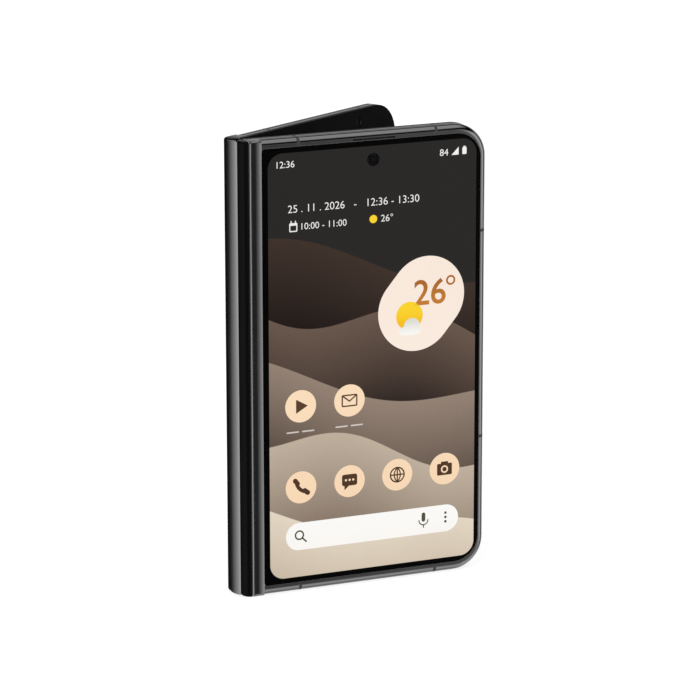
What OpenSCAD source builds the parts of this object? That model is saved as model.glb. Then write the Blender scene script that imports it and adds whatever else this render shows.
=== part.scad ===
// Book-style folding phone, standing on its bottom edges and partly open.
// Each half is drawn in its own half frame: X runs from the hinge axis to the free edge, Y runs
// from the outer face (minus) to the inner face (plus), and Z runs up from the bottom edge.
// The origin of the whole is the middle of the front half's bottom edge.

/* [Halves] */
// Height of the phone
phone_h = 139.7; // [130:1:150]
// Width of the closed phone, hinge side to free edge
half_w = 79.5; // [74:1:88]
// Thickness of one half
half_t = 5.8; // [5.6:0.1:6.2]
// Gap between the inner faces when closed
fold_gap = 0.5; // [0.4:0.1:0.8]
// Angle between the halves as drawn
open_angle = 30; // [24:1:36]
// Corner radius at the free edge
corner_r = 10; // [8:0.5:12]
// Radius where the frame turns from its edge to its outer face
edge_r = 2; // [1.6:0.1:2.1]
// Thickness of the frame's outer wall
wall_t = 2.1; // [2:0.1:2.6]
// Thickness of the web across the middle of each half
web_t = 0.5; // [0.4:0.05:0.6]
// Thickness of the end walls at the hinge
end_wall_t = 1; // [0.8:0.1:1.1]
// Clearance between fixed pieces
fit_gap = 0.1; // [0.05:0.01:0.15]

/* [Hinge] */
// Wall of the half-round rails
rail_wall = 1; // [0.8:0.05:1.1]
// Width of the seam between rail and frame
seam_w = 0.15; // [0.1:0.05:0.3]
// Width of the flat part of each rail
rail_flat = 0.2; // [0.1:0.05:0.3]
// Width of the metal strip between rail and cover glass
strip_w = 3.25; // [3:0.05:4]
// Radius of the main hinge pins
pin_r = 0.4; // [0.35:0.01:0.45]
// Radius of the idler shafts
shaft_r = 0.3; // [0.25:0.01:0.35]
// Running clearance on pins and shafts
run_gap = 0.05; // [0.03:0.01:0.07]
// Teeth on each synchronising gear
gear_teeth = 8; // [8:1:9]
// Pitch radius of each synchronising gear
gear_r = 1.08; // [1.06:0.01:1.12]
// Thickness of the gears
gear_t = 1.2; // [1:0.1:1.3]
// Thickness of the bracket plates
bracket_t = 0.7; // [0.6:0.05:0.8]
// Thickness of the hinge arms
arm_t = 1.1; // [1:0.1:1.2]
// Length of the arms into each half
arm_len = 9; // [8:0.5:11]
// Thickness of a stack of disc springs
spring_stack = 0.9; // [0.7:0.1:1]
// Depth of the spine cover below the halves' ends
spine_t = 0.6; // [0.5:0.05:0.7]

/* [Displays] */
// Thickness of the cover glass and back glass
glass_t = 0.6; // [0.5:0.05:0.7]
// Thickness of the cover display panel
cover_panel_t = 0.8; // [0.7:0.05:0.85]
// Width of frame seen above the cover glass
cover_top = 2.5; // [2.3:0.1:3]
// Width of frame seen below the cover glass
cover_bottom = 3; // [2.3:0.1:3.4]
// Width of frame seen beside the cover glass at the free edge
cover_side = 2.1; // [2.1:0.1:2.6]
// Corner radius of the cover glass at the free edge
glass_corner_r = 7.8; // [6:0.2:9]
// Corner radius of the cover glass at the hinge side
glass_inner_r = 1; // [1:0.2:5]
// Thickness of the inner display
film_t = 0.45; // [0.35:0.05:0.5]
// Depth of the inner display below the inner face
film_recess = 0.35; // [0.3:0.05:0.4]
// Thickness of the plate behind the inner display
support_t = 0.5; // [0.4:0.05:0.6]
// Distance from the hinge axis where the inner display is bonded down
bond_x = 3; // [2.9:0.05:3.2]
// Width of the inner bezel at top and bottom
bezel_end = 8.05; // [7.9:0.05:9]
// Width of the inner bezel at the free edge
bezel_side = 5.2; // [4.6:0.1:6]
// Overlap of the inner bezel over the inner display
bezel_over = 0.9; // [0.6:0.1:1]
// Thickness of the raised lip of the inner bezel
lip_t = 0.3; // [0.2:0.05:0.35]
// Depth of the bezel where it shows at the phone's edge
bezel_depth = 1.15; // [1:0.05:1.2]
// Height of the dark seam between bezel and frame
bezel_seam = 0.15; // [0.1:0.05:0.2]

/* [Antennas] */
// Width of an antenna band
band_w = 0.9; // [0.6:0.1:1.2]
// Distance from the hinge axis to the bands nearer the hinge
band_near = 15.4; // [12:0.2:20]
// Distance from the hinge axis to the bands nearer the free edge
band_far = 60; // [52:0.5:62]
// Height of the lower band in the free edge
band_low = 42.2; // [34:0.5:44]
// Height of the upper band in the front half's free edge
band_high = 106.8; // [98:0.2:108]
// Height of the upper band in the rear half's free edge
band_high_rear = 124; // [121:0.5:125]

/* [Openings and trim] */
// Distance from the hinge axis to the front camera
front_cam_x = 39.5; // [30:0.5:50]
// Height of the front camera below the phone's top
front_cam_drop = 8.4; // [7.5:0.1:10]
// Radius of the front camera
front_cam_r = 2; // [1.6:0.1:2.3]
// Length of the earpiece slot
ear_len = 14; // [10:0.5:16]
// Width of the earpiece slot
ear_w = 0.6; // [0.4:0.05:0.7]
// Width of the USB socket opening
usb_w = 8.4; // [8:0.1:9]
// Height of the USB socket opening
usb_h = 2.6; // [2.4:0.05:2.7]
// Depth of the USB socket
usb_depth = 7.4; // [6.5:0.1:8]
// Distance from the hinge axis to the USB socket
usb_x = 38; // [34:0.5:42]
// Number of speaker slots
slot_count = 5; // [3:1:6]
// Width of one speaker slot
slot_w = 1; // [0.8:0.05:1.2]
// Length of one speaker slot
slot_len = 2; // [1.4:0.1:2.2]
// Distance from slot to slot
slot_step = 2.2; // [1.8:0.1:2.4]

/* [Cameras] */
// Width of the camera housing
island_w = 24; // [20:0.5:28]
// Height of the camera housing
island_h = 52; // [48:0.5:56]
// Corner radius of the camera housing
island_r = 8; // [5:0.5:10]
// How far the camera housing stands out of the back
island_out = 1.6; // [1.2:0.1:2]
// Distance from the free edge to the camera housing
island_side = 9; // [8:0.5:14]
// Distance from the phone's top to the camera housing
island_top = 9; // [8:0.5:12]
// Thickness of the camera window
window_t = 0.5; // [0.4:0.05:0.6]
// Width of the housing's rim around the window
window_rim = 1.4; // [1:0.1:2]
// Number of rear cameras
lens_count = 3; // [2:1:3]
// Outer radius of a lens ring
lens_r = 5.2; // [4.5:0.1:5.8]
// Distance from lens to lens
lens_step = 13; // [12.5:0.1:14]
// Height of a lens ring above the window
lens_out = 0.6; // [0.4:0.05:0.8]
// Radius of the flash lens
flash_r = 1.7; // [1.2:0.1:2]
// Radius of the inner camera
inner_cam_r = 1.5; // [1.2:0.1:1.8]
// Distance from the hinge axis to the inner camera
inner_cam_x = 58; // [50:0.5:60]

/* [Buttons] */
// Length of the power button
power_len = 14; // [10:0.5:16]
// Height of the middle of the power button
power_z = 109; // [106:0.5:110]
// Length of the volume rocker
volume_len = 24; // [18:0.5:26]
// Height of the middle of the volume rocker
volume_z = 82; // [78:0.5:84]
// Width of both buttons
button_w = 2; // [1.8:0.1:2.1]
// How far the buttons stand out of the edge
button_out = 0.5; // [0.4:0.05:0.6]
// Travel of the buttons
button_travel = 0.3; // [0.2:0.05:0.35]
// Clearance around the buttons
button_gap = 0.15; // [0.1:0.01:0.2]
// Thickness of the flange inside each button
flange_t = 0.6; // [0.5:0.05:0.7]

/* [Card tray] */
// Length of the card tray's door
tray_w = 15; // [14.5:0.5:18]
// Thickness of the card tray's door
tray_h = 2.2; // [2:0.1:2.3]
// Depth of the card tray
tray_depth = 13.5; // [12.5:0.5:16]
// Distance from the hinge axis to the middle of the card tray
tray_x = 26; // [24:0.5:27]
// Radius of the hole that ejects the tray
eject_r = 0.45; // [0.4:0.05:0.5]

/* [Inside] */
// Thickness of the batteries
battery_t = 2.1; // [1.8:0.1:2.3]
// Width of the batteries
battery_w = 56; // [50:1:58]
// Height of the front battery
front_battery_h = 62; // [50:1:64]
// Height of the rear battery's lower end
rear_battery_low = 19; // [17:0.5:22]
// Gap between the rear battery and the main board
battery_gap = 5.6; // [2:0.2:8]
// Height of the middle of the front battery
front_battery_z = 62; // [60:1:64]
// Thickness of the circuit boards
board_t = 0.7; // [0.6:0.05:0.8]
// Height of the front circuit board
front_board_h = 26; // [22:1:28]
// Height of the main board
main_board_h = 58; // [54:1:60]
// Width of the main board
main_board_w = 30; // [26:1:32]
// Outer radius of the charging coil
coil_r = 21; // [18:0.5:22]
// Inner radius of the charging coil
coil_hole_r = 10; // [8:0.5:12]
// Length of a closing magnet
magnet_len = 18; // [12:1:20]
// Width of a closing magnet
magnet_w = 1.6; // [1.2:0.1:1.8]
// Radius of the screws
screw_r = 0.5; // [0.4:0.05:0.6]
// Radius of the screw heads
screw_head_r = 0.95; // [0.8:0.05:1]

/* [Hidden] */
$fn = 64;
eps = 0.01;
pivot_in = half_t / 2;
face = half_t / 2;
pivot_span = half_t + fold_gap;
free_x = half_w - pivot_in;
frame_top = face - bezel_depth - bezel_seam;
frame_x0 = rail_flat + seam_w;
glass_x0 = frame_x0 + strip_w;
glass_in = -face + glass_t;
web_out = glass_in + cover_panel_t;
web_in = web_out + web_t;
film_out = face - film_recess;
film_in = film_out - film_t;
support_in = film_in - support_t;

// Layers of the hinge, counted up from the phone's bottom edge
layer_gap = 0.1;
bracket1_z = end_wall_t + 0.2;
gear_z = bracket1_z + bracket_t + layer_gap;
arm_z = gear_z + gear_t;
bracket2_z = arm_z + arm_t + layer_gap;
spring_z = bracket2_z + bracket_t;
pin_top = spring_z + spring_stack + 0.4;
hinge_zone = pin_top + 0.3;
panel_z0 = hinge_zone + 0.2;

eye_r = rail_inner_r() - 0.3;
pocket_x = bond_x + 1.2;
arm_low = web_in;
arm_high = web_in + 1.5;
shaft_x = sqrt(4 * gear_r * gear_r - pow(pivot_span / 2 - gear_r, 2));
mesh_angle = atan2(pivot_span / 2 - gear_r, shaft_x);
gear_module = 2 * gear_r / gear_teeth;
gear_tip = gear_r + 0.8 * gear_module;
gear_root = gear_r - 1.1 * gear_module;
bracket_x = shaft_x + gear_r + gear_module + 0.1;
spine_out = pivot_in - 0.25;
spine_in = spine_out - spine_t;
crown_edge = face + 0.1;
crown_rise = 0.5;
crown_steps = 12;

rail_end_r = 0.8;
rail_skin_y = 1;
rail_slot_y = 0.3;
rim_depth = 2 * edge_r;
ledge_w = 0.6;
seam_in = 0.4;
bezel_rim = 1.6;
support_edge = wall_t - 0.3;
window_r = 2.5;

// Middle of the flat part of the frame's edge, where slots, buttons and sockets lie
edge_y = (frame_top - face + edge_r) / 2;
front_mic_x = 46;
rear_mic_x = 28;
mic_r = 0.5;
ear_z = phone_h - cover_top + ear_w / 2 + 0.25;
ear_cut = 1.6;
mesh_depth = 0.35;
mesh_t = 0.25;
ear_holes = 18;
ear_hole_r = 0.12;
ear_box_x = front_cam_x + 6;
ear_box_w = 14;
ear_box_h = 10.9;
ear_box_t = 2;
ear_box_gap = 3;
usb_wall = 0.3;
usb_y = support_in - fit_gap - usb_wall - usb_h / 2;
usb_in = 0.35;
usb_tongue_t = 0.7;
speaker_side = 26.6;
speaker_x = free_x - speaker_side;

battery_x = 10;
flex_x = 14;
flex_w = 8;
flex_t = 0.15;
magnet_low_z = 16;
magnet_high_z = 44;
board_z0 = phone_h - wall_t - 9 - main_board_h;
rear_battery_h = board_z0 - battery_gap - rear_battery_low;
rear_battery_z = rear_battery_low + rear_battery_h / 2;
can_t = 1.2;
motor_x = battery_x + 3;
motor_w = 10;
motor_h = 9;
motor_t = 2.2;
motor_gap = 4;
speaker_t = 2.4;
speaker_h = 11.9;
magnet_t = 2;
chip_w = 4;
chip_step = 6;
chip_t = 0.8;
coil_t = 0.4;
coil_gap = 2.4;

cage_t = 0.2;
tray_t = 1.2;
card_l = 12.3;
card_w = 8.8;
door_in = 0.05;

island_x0 = free_x - island_side - island_w;
island_z0 = phone_h - island_top - island_h;
lens_x = island_x0 + island_w / 2 - 3;
lens_z = island_z0 + island_h / 2;
flash_x = island_x0 + island_w - window_rim - flash_r - 1.6;
bay_w = 10.6;
bay_wall = 0.5;
bay_r = 2;
bay_z0 = lens_z - (lens_count - 1) / 2 * lens_step - bay_w / 2;
bay_z1 = lens_z + (lens_count - 1) / 2 * lens_step + bay_w / 2;
module_w = 9;
ring_w = 1.3;

flange_gap = 0.35;
flange_x = free_x - wall_t - flange_gap - flange_t;
pad_t = 0.15;
dome_h = 0.35;
strip_t = 0.5;

arm_eye_y = 0.3;
screw_head_t = 0.4;
screw_slot = 0.24;
tooth_root = 0.24;
tooth_half = 0.16;
tooth_tip = 0.1;
idler_phase = mesh_angle + 180 + 180 / gear_teeth;
press_gap = 0.01;
neck_x = 0.25;
tongue = 0.15;
pin_head_r = 0.85;
disc_r = 0.9;
disc_t = 0.2;
cap_half = 1.5;
cap_t = 0.35;
valley_gap = 0.15;
flare = 20;
flare_r = 3;
flare_steps = 8;
turn_steps = 24;

function rail_inner_r() = face - rail_wall;

// Places and directions

module in_front() {
    translate([pivot_in - half_w / 2, 0, 0]) children();
}

module in_spine() {
    in_front() rotate([0, 0, open_angle / 2]) translate([0, pivot_span / 2, 0]) children();
}

module in_rear() {
    in_spine() translate([0, pivot_span / 2, 0]) rotate([0, 0, open_angle / 2])
        mirror([0, 1, 0]) children();
}

module both_ends() {
    children();
    translate([0, 0, phone_h]) mirror([0, 0, 1]) children();
}

// Plate drawn as X and Z, filling Y from y0 to y1
module plate(y0, y1) {
    translate([0, y1, 0]) rotate([90, 0, 0]) linear_extrude(y1 - y0) children();
}

// Box between two corners
module block(low, high) {
    translate(low) cube(high - low);
}

// Rectangle with round corners at its high-X side, and its own radius at its low-X side
module outline(x0, z0, x1, z1, r, r0) {
    translate([x0 + r0, z0]) square([x1 - r - x0 - r0, z1 - z0]);
    translate([x1 - r - eps, z0 + r]) square([r + eps, z1 - z0 - 2 * r]);
    for (z = [z0 + r, z1 - r]) translate([x1 - r, z]) circle(r);
    if (r0 > 0) {
        translate([x0, z0 + r0]) square([r0 + eps, z1 - z0 - 2 * r0]);
        for (z = [z0 + r0, z1 - r0]) translate([x0 + r0, z]) circle(r0);
    }
}

// Outline of one half set in by the same distance at its three free edges
module half_outline(inset, x0) {
    outline(x0, inset, free_x - inset, phone_h - inset, corner_r - inset, 0);
}

// A section (X inward from the edge, Y through the thickness) run round the three free edges
module rim(x0) {
    run = free_x - corner_r - x0;
    both_ends() {
        translate([free_x - corner_r, 0, 0]) rotate([0, -90, 0]) linear_extrude(run) children();
        translate([free_x - corner_r, 0, corner_r]) rotate([-90, 0, 0])
            rotate_extrude(angle = 90) translate([corner_r, 0]) mirror([1, 0]) children();
    }
    translate([free_x, 0, corner_r]) linear_extrude(phone_h - 2 * corner_r)
        mirror([1, 0]) children();
}

// Slot with round ends, drawn as length along X and width along Y
module slot(len, width) {
    square([len - width, width], center = true);
    for (side = [-1, 1]) translate([side * (len - width) / 2, 0]) circle(width / 2);
}

// Frames and rails

// Section of an edge: X inward from the edge, Y through the thickness, round at the outer face
module edge_section(r, depth, top) {
    intersection() {
        translate([0, -face]) square([depth, top + face]);
        union() {
            translate([r, -face]) square([depth, 2 * face]);
            translate([0, r - face]) square([depth, 2 * face]);
            translate([r, r - face]) circle(r);
        }
    }
}

module edge_run(x0, x1) {
    both_ends() translate([x1, 0, 0]) rotate([0, -90, 0]) linear_extrude(x1 - x0) children();
}

module cover_outline(inset) {
    outline(glass_x0 + inset, cover_bottom + inset, free_x - cover_side - inset,
        phone_h - cover_top - inset, glass_corner_r - inset, glass_inner_r);
}

// Room for the hinge inside the hinge side of a half
module hinge_pockets() {
    both_ends() {
        block([rail_flat - 1, -face + rail_wall, end_wall_t], [pocket_x + eps, face + 1, hinge_zone]);
        block([pocket_x, web_in, end_wall_t], [arm_len + fit_gap, frame_top + 1, hinge_zone]);
    }
}

module arm_screw_places() {
    both_ends() for (x = [pocket_x + screw_head_r + 0.2, arm_len - screw_head_r - 0.1])
        translate([x, 0, arm_z + arm_t / 2]) children();
}

module frame_solid() {
    difference() {
        union() {
            rim(glass_x0) edge_section(edge_r, rim_depth, frame_top);
            edge_run(frame_x0, glass_x0 + eps) edge_section(rail_end_r, rim_depth, frame_top);
            block([frame_x0, -face, rim_depth - eps],
                [glass_x0 + eps, -face + rail_wall, phone_h - rim_depth + eps]);
            block([bond_x, -face, rim_depth - eps],
                [pocket_x, frame_top, phone_h - rim_depth + eps]);
            plate(web_out, web_in) half_outline(wall_t / 2, pocket_x - eps);
        }
        plate(-face - 1, glass_in) cover_outline(0);
        plate(glass_in - eps, web_out) cover_outline(ledge_w);
        plate(web_in, face) half_outline(wall_t, pocket_x);
        hinge_pockets();
        arm_screw_places() rotate([90, 0, 0]) cylinder(h = face, r = screw_r + 0.02);
    }
}

// Blocks where the antenna bands cut the frame
module band_blocks(high_z) {
    both_ends() for (x = [band_near, band_far])
        block([x - band_w / 2, -face - 1, -1], [x + band_w / 2, face, wall_t]);
    for (z = [band_low, high_z])
        block([free_x - wall_t, -face - 1, z - band_w / 2], [free_x + 1, face, z + band_w / 2]);
}

module antenna_bands(high_z) {
    intersection() {
        frame_solid();
        band_blocks(high_z);
    }
}

// Half section of the rail: X outward from the hinge axis, Y up, with round ends
module rail_profile() {
    square([face - rail_end_r, phone_h]);
    translate([0, rail_end_r]) square([face, phone_h - 2 * rail_end_r]);
    for (z = [rail_end_r, phone_h - rail_end_r]) translate([face - rail_end_r, z]) circle(rail_end_r);
}

// Half-round rail at the hinge side, closed at its ends and slotted for the brackets and gears
module hinge_rail() {
    difference() {
        union() {
            rotate([0, 0, 90]) rotate_extrude(angle = 180) rail_profile();
            rotate([90, 0, 90]) linear_extrude(rail_flat) {
                rail_profile();
                mirror([1, 0]) rail_profile();
            }
        }
        translate([0, 0, end_wall_t]) linear_extrude(phone_h - 2 * end_wall_t) {
            circle(rail_inner_r());
            translate([0, -rail_inner_r()]) square([face, 2 * face]);
            translate([-face - 1, rail_skin_y]) square([2 * face, face]);
        }
        both_ends() {
            block([-face - 1, -rail_slot_y, bracket1_z - layer_gap], [0, face, spring_z + layer_gap]);
            translate([gear_r - pivot_span / 2, shaft_x, gear_z - layer_gap])
                cylinder(h = gear_t + 2 * layer_gap, r = gear_tip + layer_gap);
        }
    }
}

module front_frame() {
    color([0.09, 0.09, 0.1]) in_front() difference() {
        frame_solid();
        band_blocks(band_high);
        translate([tray_x, edge_y, -1]) linear_extrude(wall_t + 2)
            slot(tray_w + 2 * fit_gap, tray_h + 2 * fit_gap);
        ear_slot();
        translate([front_mic_x, edge_y, -1]) cylinder(h = wall_t + 2, r = mic_r);
        front_cam_place() translate([0, 0, -1]) cylinder(h = face + 2, r = front_cam_r + fit_gap);
    }
}

module front_hinge_rail() {
    color([0.12, 0.12, 0.13]) in_front() hinge_rail();
}

module front_antenna_bands() {
    color([0.05, 0.05, 0.05]) in_front() antenna_bands(band_high);
}

module rear_frame() {
    color([0.09, 0.09, 0.1]) in_rear() difference() {
        frame_solid();
        band_blocks(band_high_rear);
        translate([usb_x, usb_y, -1]) linear_extrude(usb_depth + 2)
            slot(usb_w + 2 * usb_wall + fit_gap, usb_h + 2 * usb_wall + fit_gap);
        speaker_slots();
        translate([rear_mic_x, edge_y, -1]) cylinder(h = wall_t + 2, r = mic_r);
        edge_slot(power_z, power_len + 2 * button_gap, button_w + 2 * button_gap);
        edge_slot(volume_z, volume_len + 2 * button_gap, button_w + 2 * button_gap);
        plate(-face, face) lens_bay(fit_gap);
    }
}

module rear_hinge_rail() {
    color([0.12, 0.12, 0.13]) in_rear() hinge_rail();
}

module rear_antenna_bands() {
    color([0.05, 0.05, 0.05]) in_rear() antenna_bands(band_high_rear);
}

// Slot through the free edge, long in Z
module edge_slot(z, len, width) {
    translate([free_x - wall_t - 1, edge_y, z]) rotate([0, 90, 0]) linear_extrude(wall_t + 2)
        slot(len, width);
}

module ear_slot() {
    translate([front_cam_x, -face - 1, ear_z]) rotate([-90, 0, 0]) linear_extrude(ear_cut + 1)
        slot(ear_len, ear_w);
}

module speaker_slots() {
    for (i = [0:slot_count - 1]) translate([speaker_x + i * slot_step, edge_y, -1])
        linear_extrude(wall_t + 2) rotate(90) slot(slot_len, slot_w);
}

module front_cam_place() {
    translate([front_cam_x, glass_in, phone_h - front_cam_drop]) rotate([-90, 0, 0]) children();
}

// Glass, displays and bezels

module cover_glass() {
    color([0.04, 0.04, 0.05]) in_front() plate(-face, glass_in) cover_outline(fit_gap / 2);
}

module cover_display() {
    color([0.2, 0.18, 0.17]) in_front() difference() {
        plate(glass_in, web_out) cover_outline(ledge_w + fit_gap);
        front_cam_place() translate([0, 0, -eps]) cylinder(h = face, r = front_cam_r + fit_gap);
    }
}

// Flat cable from the cover display to the front board, folded over the web's lower end
module display_flex() {
    color([0.5, 0.32, 0.12]) in_front()
        block([flex_x, web_in, front_battery_z - front_battery_h / 2 - 12],
            [flex_x + flex_w, web_in + flex_t, front_battery_z + front_battery_h / 2 + 2]);
}

module inner_bezel(cam_r) {
    difference() {
        union() {
            plate(frame_top + bezel_seam, face) half_outline(0, bond_x - fit_gap);
            plate(frame_top, face - lip_t) half_outline(seam_in, bond_x - fit_gap);
            both_ends() block([frame_x0, frame_top + bezel_seam, 0], [bond_x, face, end_wall_t]);
        }
        plate(frame_top - 1, face - lip_t) half_outline(bezel_rim, bond_x - 1);
        plate(frame_top - 1, face + 1) outline(bond_x - 1, bezel_end, free_x - bezel_side,
            phone_h - bezel_end, window_r, 0);
        both_ends() block([-1, frame_top - 1, end_wall_t], [pocket_x, face - lip_t, hinge_zone]);
        if (cam_r > 0) inner_cam_place() translate([0, 0, -1]) cylinder(h = face, r = cam_r);
    }
}

module inner_cam_place() {
    translate([inner_cam_x, face, phone_h - bezel_end / 2]) rotate([90, 0, 0]) children();
}

module inner_panel() {
    plate(film_in, film_out) outline(bond_x, panel_z0, free_x - bezel_side + bezel_over,
        phone_h - panel_z0, window_r, 0);
}

module support_plate() {
    plate(support_in, film_in) outline(bond_x, support_edge, free_x - support_edge,
        phone_h - support_edge, corner_r - support_edge, 0);
}

// Front half: inside pieces

module front_camera() {
    color([0.03, 0.03, 0.04]) in_front() front_cam_place() {
        cylinder(h = cover_panel_t + web_t, r = front_cam_r);
        translate([0, 0, cover_panel_t + web_t]) cylinder(h = 1.6, r = front_cam_r + 0.8);
    }
}

module earpiece_mesh() {
    color([0.15, 0.15, 0.16]) in_front() translate([front_cam_x, -face + mesh_depth, ear_z])
        rotate([-90, 0, 0]) difference() {
            linear_extrude(mesh_t) slot(ear_len - fit_gap, ear_w - fit_gap);
            for (i = [-ear_holes / 2:ear_holes / 2]) translate([i * ear_len / (ear_holes + 3), 0, -1])
                cylinder(h = 2, r = ear_hole_r);
        }
}

module earpiece_speaker() {
    top = phone_h - wall_t - ear_box_gap;
    color([0.2, 0.2, 0.22]) in_front() block([ear_box_x, web_in, top - ear_box_h],
        [ear_box_x + ear_box_w, web_in + ear_box_t, top]);
}

module front_inner_bezel() {
    color([0.04, 0.04, 0.04]) in_front() inner_bezel(0);
}

module inner_display_front() {
    color([0.03, 0.03, 0.04]) in_front() inner_panel();
}

module front_support_plate() {
    color([0.5, 0.5, 0.52]) in_front() support_plate();
}

module battery(z, h) {
    block([battery_x, web_in, z - h / 2], [battery_x + battery_w, web_in + battery_t, z + h / 2]);
}

module front_battery() {
    color([0.18, 0.19, 0.21]) in_front() difference() {
        battery(front_battery_z, front_battery_h);
        block([flex_x - fit_gap, web_in - eps, 0],
            [flex_x + flex_w + fit_gap, web_in + flex_t + fit_gap, phone_h]);
    }
}

module front_board() {
    top = phone_h - wall_t - 17;
    color([0.05, 0.22, 0.12]) in_front() {
        block([battery_x, web_in, top - front_board_h / 2], [battery_x + battery_w / 2, web_in + board_t, top]);
        for (i = [0:3]) block([battery_x + 3 + chip_step * i, web_in + board_t, top - 5 - chip_w],
            [battery_x + 3 + chip_step * i + chip_w, web_in + board_t + chip_t, top - 5]);
    }
}

module magnets() {
    x = free_x - wall_t - fit_gap;
    for (z = [magnet_low_z, magnet_high_z])
        block([x - magnet_w, web_in, z], [x, web_in + magnet_t, z + magnet_len]);
}

module front_magnets() {
    color([0.6, 0.6, 0.62]) in_front() magnets();
}

// Screws that hold the arms on the web
module arm_screws() {
    arm_screw_places() translate([0, arm_high, 0]) rotate([90, 0, 0]) {
        cylinder(h = arm_high - web_out - fit_gap, r = screw_r);
        translate([0, 0, -screw_head_t]) difference() {
            cylinder(h = screw_head_t, r = screw_head_r);
            for (a = [0, 90]) rotate(a) translate([-screw_r, -screw_slot / 2, -eps])
                cube([2 * screw_r, screw_slot, screw_head_t / 2]);
        }
    }
}

module front_screws() {
    color([0.45, 0.45, 0.47]) in_front() arm_screws();
}

// Flat arms from the hinge pins to the web, each with its eye and screw holes
module hinge_arms() {
    both_ends() difference() {
        union() {
            translate([0, 0, arm_z]) cylinder(h = arm_t, r = eye_r);
            block([0, arm_low, arm_z], [pocket_x + fit_gap, arm_eye_y, arm_z + arm_t]);
            block([pocket_x + fit_gap, arm_low, arm_z], [arm_len, arm_high, arm_z + arm_t]);
            block([pocket_x + fit_gap, arm_low, end_wall_t + fit_gap], [arm_len, arm_high, hinge_zone - 0.2]);
        }
        translate([0, 0, arm_z - 1]) cylinder(h = arm_t + 2, r = pin_r + run_gap);
        arm_screw_holes();
    }
}

module arm_screw_holes() {
    for (x = [pocket_x + screw_head_r + 0.2, arm_len - screw_head_r - 0.1])
        translate([x, 0, arm_z + arm_t / 2]) rotate([-90, 0, 0])
            translate([0, 0, -face]) cylinder(h = 2 * face, r = screw_r + 0.02);
}

module front_hinge_arms() {
    color([0.55, 0.55, 0.57]) in_front() hinge_arms();
}

module gear(phase) {
    foot = gear_root - 0.1;
    rotate(phase) linear_extrude(gear_t) {
        circle(gear_root);
        for (i = [0:gear_teeth - 1]) rotate(i * 360 / gear_teeth)
            polygon([[foot, -tooth_root], [gear_r, -tooth_half], [gear_tip, -tooth_tip],
                [gear_tip, tooth_tip], [gear_r, tooth_half], [foot, tooth_root]]);
    }
}

module gear_at(x, y, phase, bore_r) {
    in_spine() both_ends() translate([x, y, gear_z]) difference() {
        gear(phase);
        translate([0, 0, -1]) cylinder(h = gear_t + 2, r = bore_r);
    }
}

module front_sync_gears() {
    color([0.72, 0.6, 0.35]) gear_at(0, -pivot_span / 2, mesh_angle, pin_r + run_gap);
}

module rear_sync_gears() {
    color([0.72, 0.6, 0.35])
        gear_at(0, pivot_span / 2, -mesh_angle + 180 / gear_teeth, pin_r + run_gap);
}

module idler_gear_a() {
    color([0.7, 0.7, 0.72]) gear_at(shaft_x, -gear_r, idler_phase, shaft_r + run_gap);
}

module idler_gear_b() {
    color([0.7, 0.7, 0.72]) gear_at(shaft_x, gear_r, -idler_phase + 180 / gear_teeth, shaft_r + run_gap);
}

// Card tray

module sim_socket() {
    w = tray_w - 1;
    color([0.6, 0.6, 0.62]) in_front() difference() {
        block([tray_x - w / 2 - cage_t, web_in, wall_t + fit_gap],
            [tray_x + w / 2 + cage_t, edge_y + tray_t / 2 + 2 * cage_t, tray_depth + 3]);
        block([tray_x - w / 2, edge_y - tray_t / 2 - 0.15, 0],
            [tray_x + w / 2, edge_y + tray_t / 2 + 0.15, tray_depth + 2.4]);
    }
}

module sim_tray() {
    w = tray_w - 1 - 0.3;
    color([0.14, 0.14, 0.15]) in_front() difference() {
        union() {
            translate([tray_x, edge_y, door_in]) linear_extrude(wall_t - door_in - 0.4) slot(tray_w, tray_h);
            block([tray_x - w / 2, edge_y - tray_t / 2, wall_t - 0.5],
                [tray_x + w / 2, edge_y + tray_t / 2, tray_depth]);
        }
        translate([tray_x + tray_w / 2 - 1.6, edge_y, -1]) cylinder(h = 2.4, r = eject_r);
        translate([tray_x - w / 2 + 0.7, edge_y - face, wall_t + 0.9]) cube([card_l, 2 * face, card_w]);
    }
}

module sim_tray_seal() {
    w = tray_w - 1 - 0.3;
    color([0.1, 0.1, 0.1]) in_front() translate([tray_x, edge_y, wall_t - 0.4]) difference() {
        linear_extrude(0.35) slot(tray_w, tray_h);
        translate([-w / 2, -tray_t / 2, -1]) cube([w, tray_t, 2]);
    }
}

// Rear half: inside pieces

module island(inset) {
    outline(island_x0 + inset, island_z0 + inset, island_x0 + island_w - inset,
        island_z0 + island_h - inset, island_r - inset, island_r - inset);
}

// Hole behind the lenses through back glass and web
module lens_bay(grow) {
    r = bay_r + grow;
    outline(lens_x - bay_w / 2 - grow, bay_z0 - grow, lens_x + bay_w / 2 + grow,
        bay_z1 + grow, r, r);
}

module lens_places() {
    for (i = [0:lens_count - 1])
        translate([lens_x, 0, lens_z + (i - (lens_count - 1) / 2) * lens_step]) rotate([90, 0, 0])
            children();
}

module back_glass() {
    color([0.05, 0.05, 0.06]) in_rear() difference() {
        plate(-face, glass_in) cover_outline(fit_gap / 2);
        plate(-face - 1, 0) lens_bay(fit_gap);
    }
}

module camera_housing() {
    color([0.11, 0.11, 0.12]) in_rear() difference() {
        union() {
            plate(-face - island_out, -face) island(0);
            plate(-face - eps, glass_in) lens_bay(0);
        }
        plate(-face - island_out - 1, -face - island_out + window_t) island(window_rim);
        plate(-face - island_out, 0) lens_bay(-bay_wall);
        translate([flash_x, -face + eps, lens_z]) rotate([90, 0, 0])
            cylinder(h = island_out, r = flash_r + fit_gap);
    }
}

module camera_window() {
    color([0.03, 0.03, 0.03]) in_rear()
        plate(-face - island_out, -face - island_out + window_t) island(window_rim + fit_gap / 2);
}

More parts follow.
